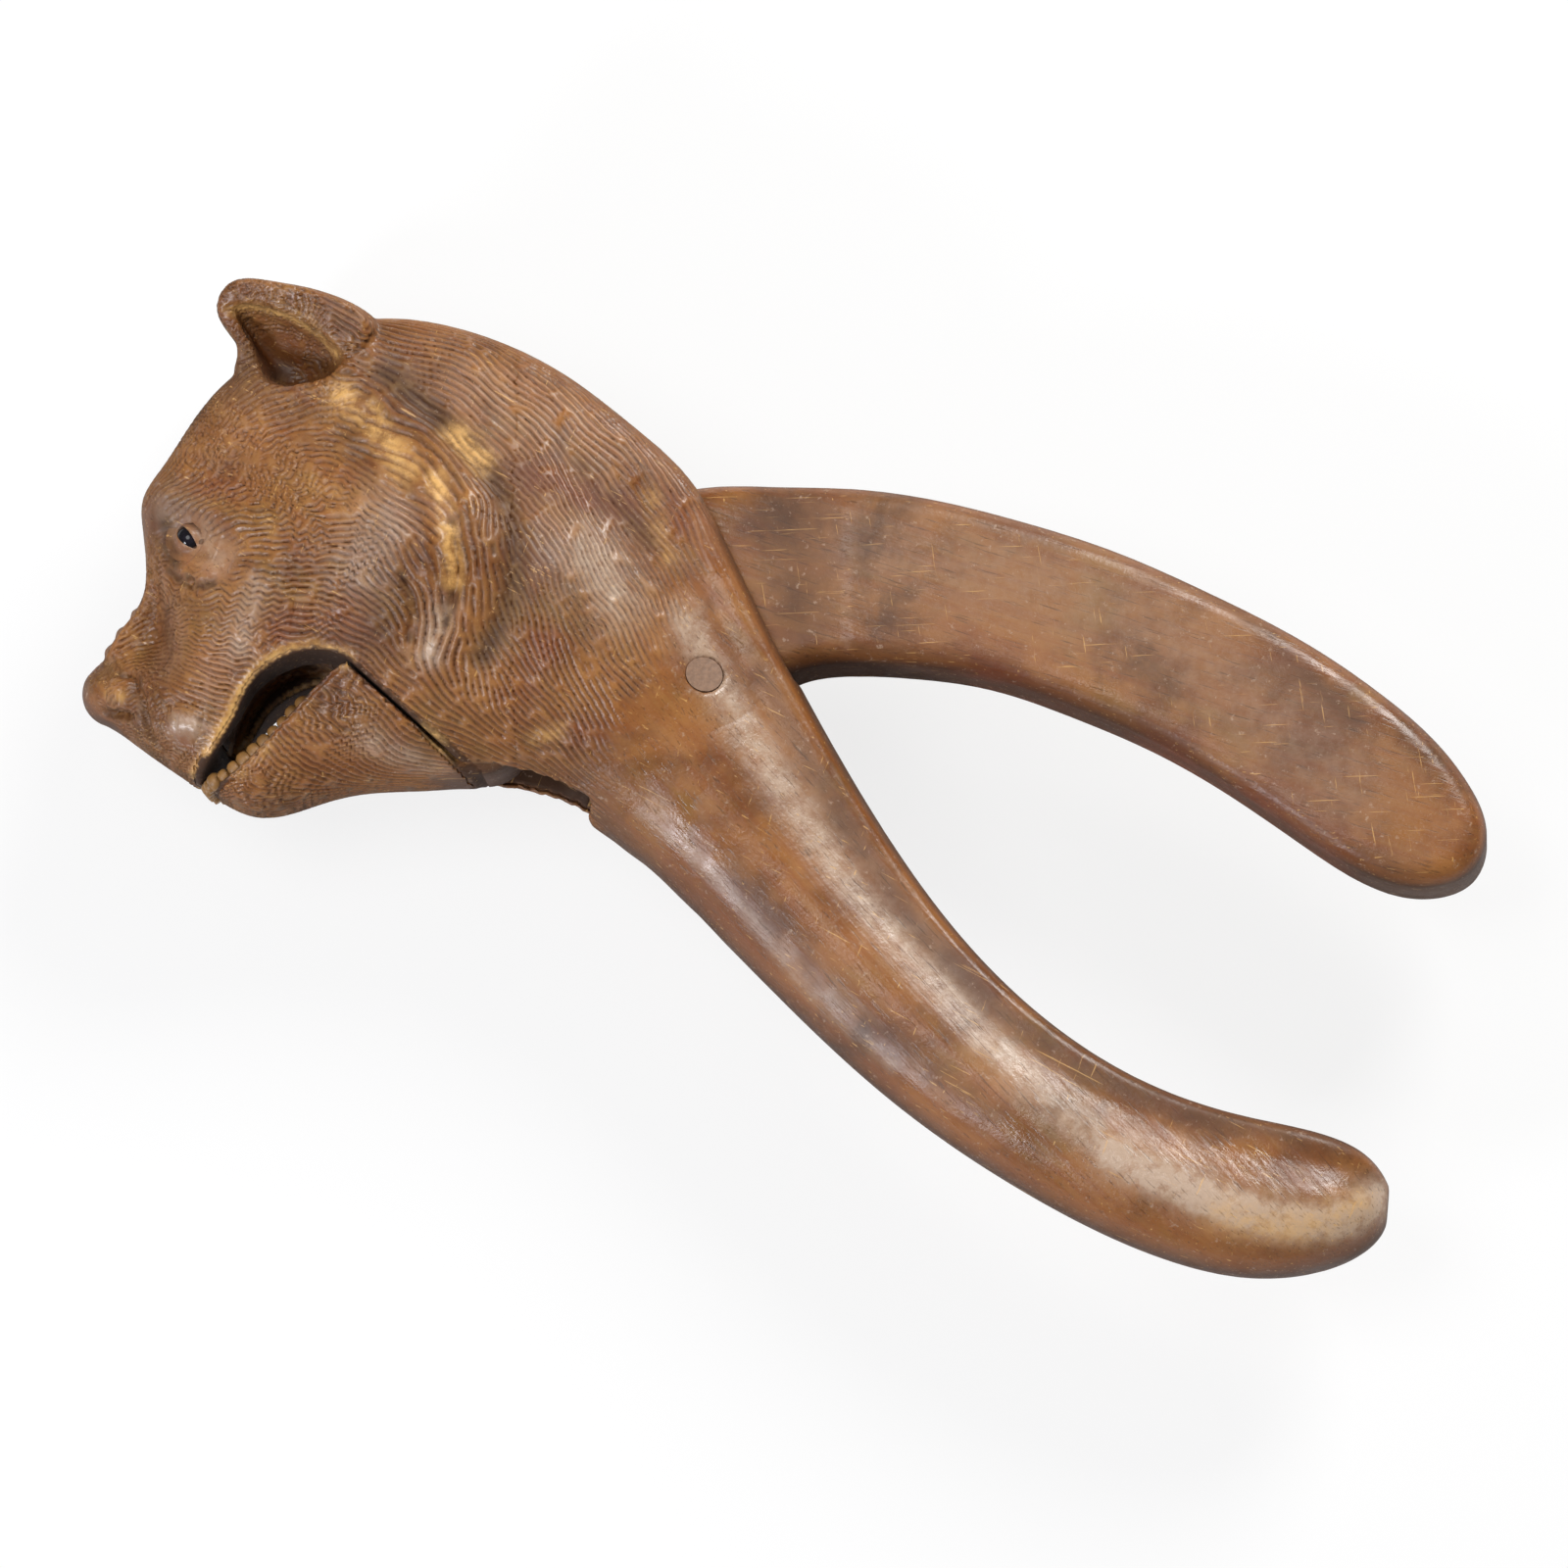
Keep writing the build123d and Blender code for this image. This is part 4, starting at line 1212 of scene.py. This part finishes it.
def tooth_mesh(width, height):
    """One blunt tooth standing along Z, a few dozen faces, turned to stand on the jaw's edge."""
    corners = []
    for rise, share in TOOTH_RINGS:
        for i in range(TOOTH_CORNERS):
            turn = 2 * math.pi * i / TOOTH_CORNERS
            corners.append((share * width / 2 * math.cos(turn),
                            TOOTH_FLATNESS * share * width / 2 * math.sin(turn),
                            rise * height - height * TOOTH_ROOT))
    last = (len(TOOTH_RINGS) - 1) * TOOTH_CORNERS
    faces = ring_faces(len(TOOTH_RINGS), TOOTH_CORNERS)
    faces.append(tuple(range(TOOTH_CORNERS))[::-1])
    faces.append(tuple(range(last, last + TOOTH_CORNERS)))
    mesh = new_mesh("tooth", corners, faces)
    mesh.transform(Matrix.Rotation(math.radians(TOOTH_TURN), 4, "Z")
                   @ Matrix.Rotation(math.radians(TOOTH_LEAN), 4, "X"))
    return mesh


class NUTCRACKER_OT_teeth(bpy.types.Operator):
    """Set the row of teeth in the lower jaw, round the mouth from cheek to cheek"""
    bl_idname = "nutcracker.teeth"
    bl_label = "Teeth"

    def execute(self, context):
        sizes = context.scene.nut_teeth
        half = smooth_line(LOWER_TEETH, 10)
        both = np.vstack([half[::-1] * (1, 1, -1), half[1:]])
        corners = [HINGE + Vector(p) * MM for p in both]
        edges = [(i, i + 1) for i in range(len(corners) - 1)]
        line = new_object("teeth_line", new_mesh("teeth_line", corners, [], edges))
        tooth = new_object("tooth", tooth_mesh(sizes.width, sizes.height))
        material = mottled("teeth", tuple(context.scene.nut_wood.tooth), 900, {"Roughness": 0.45})
        row = run_tree(line, tooth_tree(), "lower_teeth",
                       {"Spacing": sizes.spacing, "Tooth": tooth, "Seed": sizes.seed,
                        "Material": material})
        bpy.data.objects.remove(tooth)
        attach(row, "jaw")
        return {"FINISHED"}


def lid_mesh(name, centre, out, radius):
    """A pair of lids over a glass eye: an almond opening, running out into the wood round it."""
    sizes = bpy.context.scene.nut_eyes
    along = Vector(LID_ALONG)
    along = (along - along.dot(out) * out).normalized()
    across = out.cross(along).normalized()
    corners = []
    for share, lift in LID_LOOPS:
        for i in range(LID_CORNERS):
            turn = 2 * math.pi * i / LID_CORNERS
            wide = math.sin(turn)
            u = sizes.half_length * math.cos(turn)
            v = sizes.half_height * wide * abs(wide) ** LID_POINTEDNESS
            u += share * (sizes.rim * math.cos(turn) - u)
            v += share * (sizes.rim * wide - v)
            dome = math.sqrt(max((lift * radius) ** 2 - u * u - v * v, 0.0))
            level = radius * (LID_LEVEL - LID_FALL * share)
            # The higher of the two, with a soft change from one to the other
            height = (dome ** 4 + level ** 4) ** 0.25
            corners.append(centre + along * u + across * v + out * height)
    mesh = new_mesh(name, corners, ring_faces(len(LID_LOOPS), LID_CORNERS))
    face_outwards(mesh)
    return mesh


class NUTCRACKER_OT_eyes(bpy.types.Operator):
    """Polish the glass eyes and carve their lids"""
    bl_idname = "nutcracker.eyes"
    bl_label = "Eyes"

    def execute(self, context):
        glass = black_glass()
        for side, node, name in ((1, "eye_left", "eyelids_left"), (-1, "eye_right", "eyelids_right")):
            dress(node, glass)
            low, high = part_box(node)
            x, y, z = EYE_OUT
            out = Vector((x, y, z * side)).normalized()
            lids = new_object(name, lid_mesh(name, (low + high) / 2, out, (high.x - low.x) / 2))
            marks = finish_marks(vectors(lids.data, "co"), np.zeros(len(lids.data.vertices)))
            write_marks(lids.data, marks)
            lids.data.materials.append(wood_of("head"))
            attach(lids, "head")
        return {"FINISHED"}


class NUTCRACKER_OT_fittings(bpy.types.Operator):
    """Finish the plugs, the hinge pin and the wire stems"""
    bl_idname = "nutcracker.fittings"
    bl_label = "Plugs, pin and stems"

    def execute(self, context):
        plug = mottled("plug_end_grain", tuple(context.scene.nut_wood.plug), 1500, {"Roughness": 0.5})
        steel = mottled("dull_steel", paint(150, 148, 145), 700, {"Roughness": 0.35, "Metallic": 1})
        for node, material in (("plug_left", plug), ("plug_right", plug), ("hinge_pin", steel),
                               ("eye_wire_left", steel), ("eye_wire_right", steel)):
            dress(node, material)
        return {"FINISHED"}


def soft_light(name, place, size, energy, colour):
    light = bpy.data.lights.new(name, "AREA")
    light.shape = "DISK"
    light.size = size
    light.energy = energy
    light.color = colour
    lamp = new_object(name, light)
    lamp.location = place
    lamp.rotation_mode = "QUATERNION"
    lamp.rotation_quaternion = Vector(place).to_track_quat("Z", "Y")


def lay_floor(sizes):
    """A plain pale floor that the camera sees a little brighter than the lamps make it."""
    half, z = sizes.floor_size / 2, -sizes.floor_drop
    corners = [(-half, -half, z), (half, -half, z), (half, half, z), (-half, half, z)]
    floor = new_object("floor", new_mesh("floor", corners, [(0, 1, 2, 3)]))
    material, tree, shader, _ = new_material("pale_floor")
    shader.inputs["Base Color"].default_value = (*sizes.floor, 1.0)
    shader.inputs["Roughness"].default_value = 0.9
    seen = put(tree, "ShaderNodeLightPath").outputs["Is Camera Ray"]
    glow = put(tree, "ShaderNodeEmission", {"Color": (1, 1, 1, 1), "Strength": 1.0})
    mix = put(tree, "ShaderNodeMixShader", {0: times(tree, seen, sizes.floor_glow),
                                            1: shader.outputs["BSDF"], 2: glow.outputs["Emission"]})
    tree.links.new(mix.outputs["Shader"], tree.nodes["Material Output"].inputs["Surface"])
    floor.data.materials.append(material)


def light_sky(sizes):
    """Soft light from all sides, which the camera sees as plain white."""
    world = bpy.data.worlds.new("studio")
    world.use_nodes = True
    tree = world.node_tree
    seen = put(tree, "ShaderNodeLightPath").outputs["Is Camera Ray"]
    background = tree.nodes["Background"]
    background.inputs["Color"].default_value = (1, 1, 1, 1)
    tree.links.new(spread(tree, seen, 0.0, 1.0, sizes.sky), background.inputs["Strength"])
    bpy.context.scene.world = world


def set_camera(sizes):
    """The camera at the photograph's angle, leaning a little to the right and down."""
    back = Vector((sizes.lean_x, sizes.lean_y, 1.0)).normalized()
    right = (Vector((1, 0, 0)) - back * back.x).normalized()
    up = back.cross(right)
    turned_right = right * math.cos(sizes.roll) + up * math.sin(sizes.roll)
    turned_up = up * math.cos(sizes.roll) - right * math.sin(sizes.roll)
    aim = HINGE + Vector(AIM) + turned_right * NUDGE[0] + turned_up * NUDGE[1]
    camera = bpy.data.cameras.new("camera")
    camera.lens = sizes.lens
    camera.sensor_width = SENSOR
    view = new_object("camera", camera)
    view.location = aim + back * sizes.distance
    view.rotation_mode = "QUATERNION"
    view.rotation_quaternion = Matrix((turned_right, turned_up, back)).transposed().to_quaternion()
    bpy.context.scene.camera = view
    bpy.context.scene.view_settings.view_transform = "Standard"


class NUTCRACKER_OT_stage(bpy.types.Operator):
    """Lay the floor, hang the lamps and set the camera"""
    bl_idname = "nutcracker.stage"
    bl_label = "Floor, lamps and camera"

    def execute(self, context):
        sizes = context.scene.nut_stage
        lay_floor(sizes)
        light_sky(sizes)
        for name, lamp in LAMPS.items():
            soft_light(name, *lamp)
        set_camera(sizes)
        return {"FINISHED"}


class NUTCRACKER_PT_panel(bpy.types.Panel):
    """Lists the pieces of the nutcracker and their sizes"""
    bl_idname = "NUTCRACKER_PT_panel"
    bl_label = "Carved nutcracker"
    bl_space_type = "VIEW_3D"
    bl_region_type = "UI"
    bl_category = "Nutcracker"

    def draw(self, context):
        for operator in OPERATORS:
            self.layout.operator(operator.bl_idname)
        for name, group in GROUPS.items():
            box = self.layout.box()
            for prop in group.__annotations__:
                box.prop(getattr(context.scene, name), prop)


OPERATORS = (NUTCRACKER_OT_head, NUTCRACKER_OT_jaw, NUTCRACKER_OT_teeth, NUTCRACKER_OT_eyes,
             NUTCRACKER_OT_fittings, NUTCRACKER_OT_stage)
CLASSES = (*GROUPS.values(), *OPERATORS, NUTCRACKER_PT_panel)


def register():
    for made in CLASSES:
        bpy.utils.register_class(made)
    for name, group in GROUPS.items():
        setattr(bpy.types.Scene, name, bpy.props.PointerProperty(type=group))


def unregister():
    for name in GROUPS:
        delattr(bpy.types.Scene, name)
    for made in reversed(CLASSES):
        bpy.utils.unregister_class(made)


def main():
    register()
    bpy.ops.nutcracker.head()
    bpy.ops.nutcracker.jaw()
    bpy.ops.nutcracker.teeth()
    bpy.ops.nutcracker.eyes()
    bpy.ops.nutcracker.fittings()
    bpy.ops.nutcracker.stage()


if __name__ == "__main__":
    main()
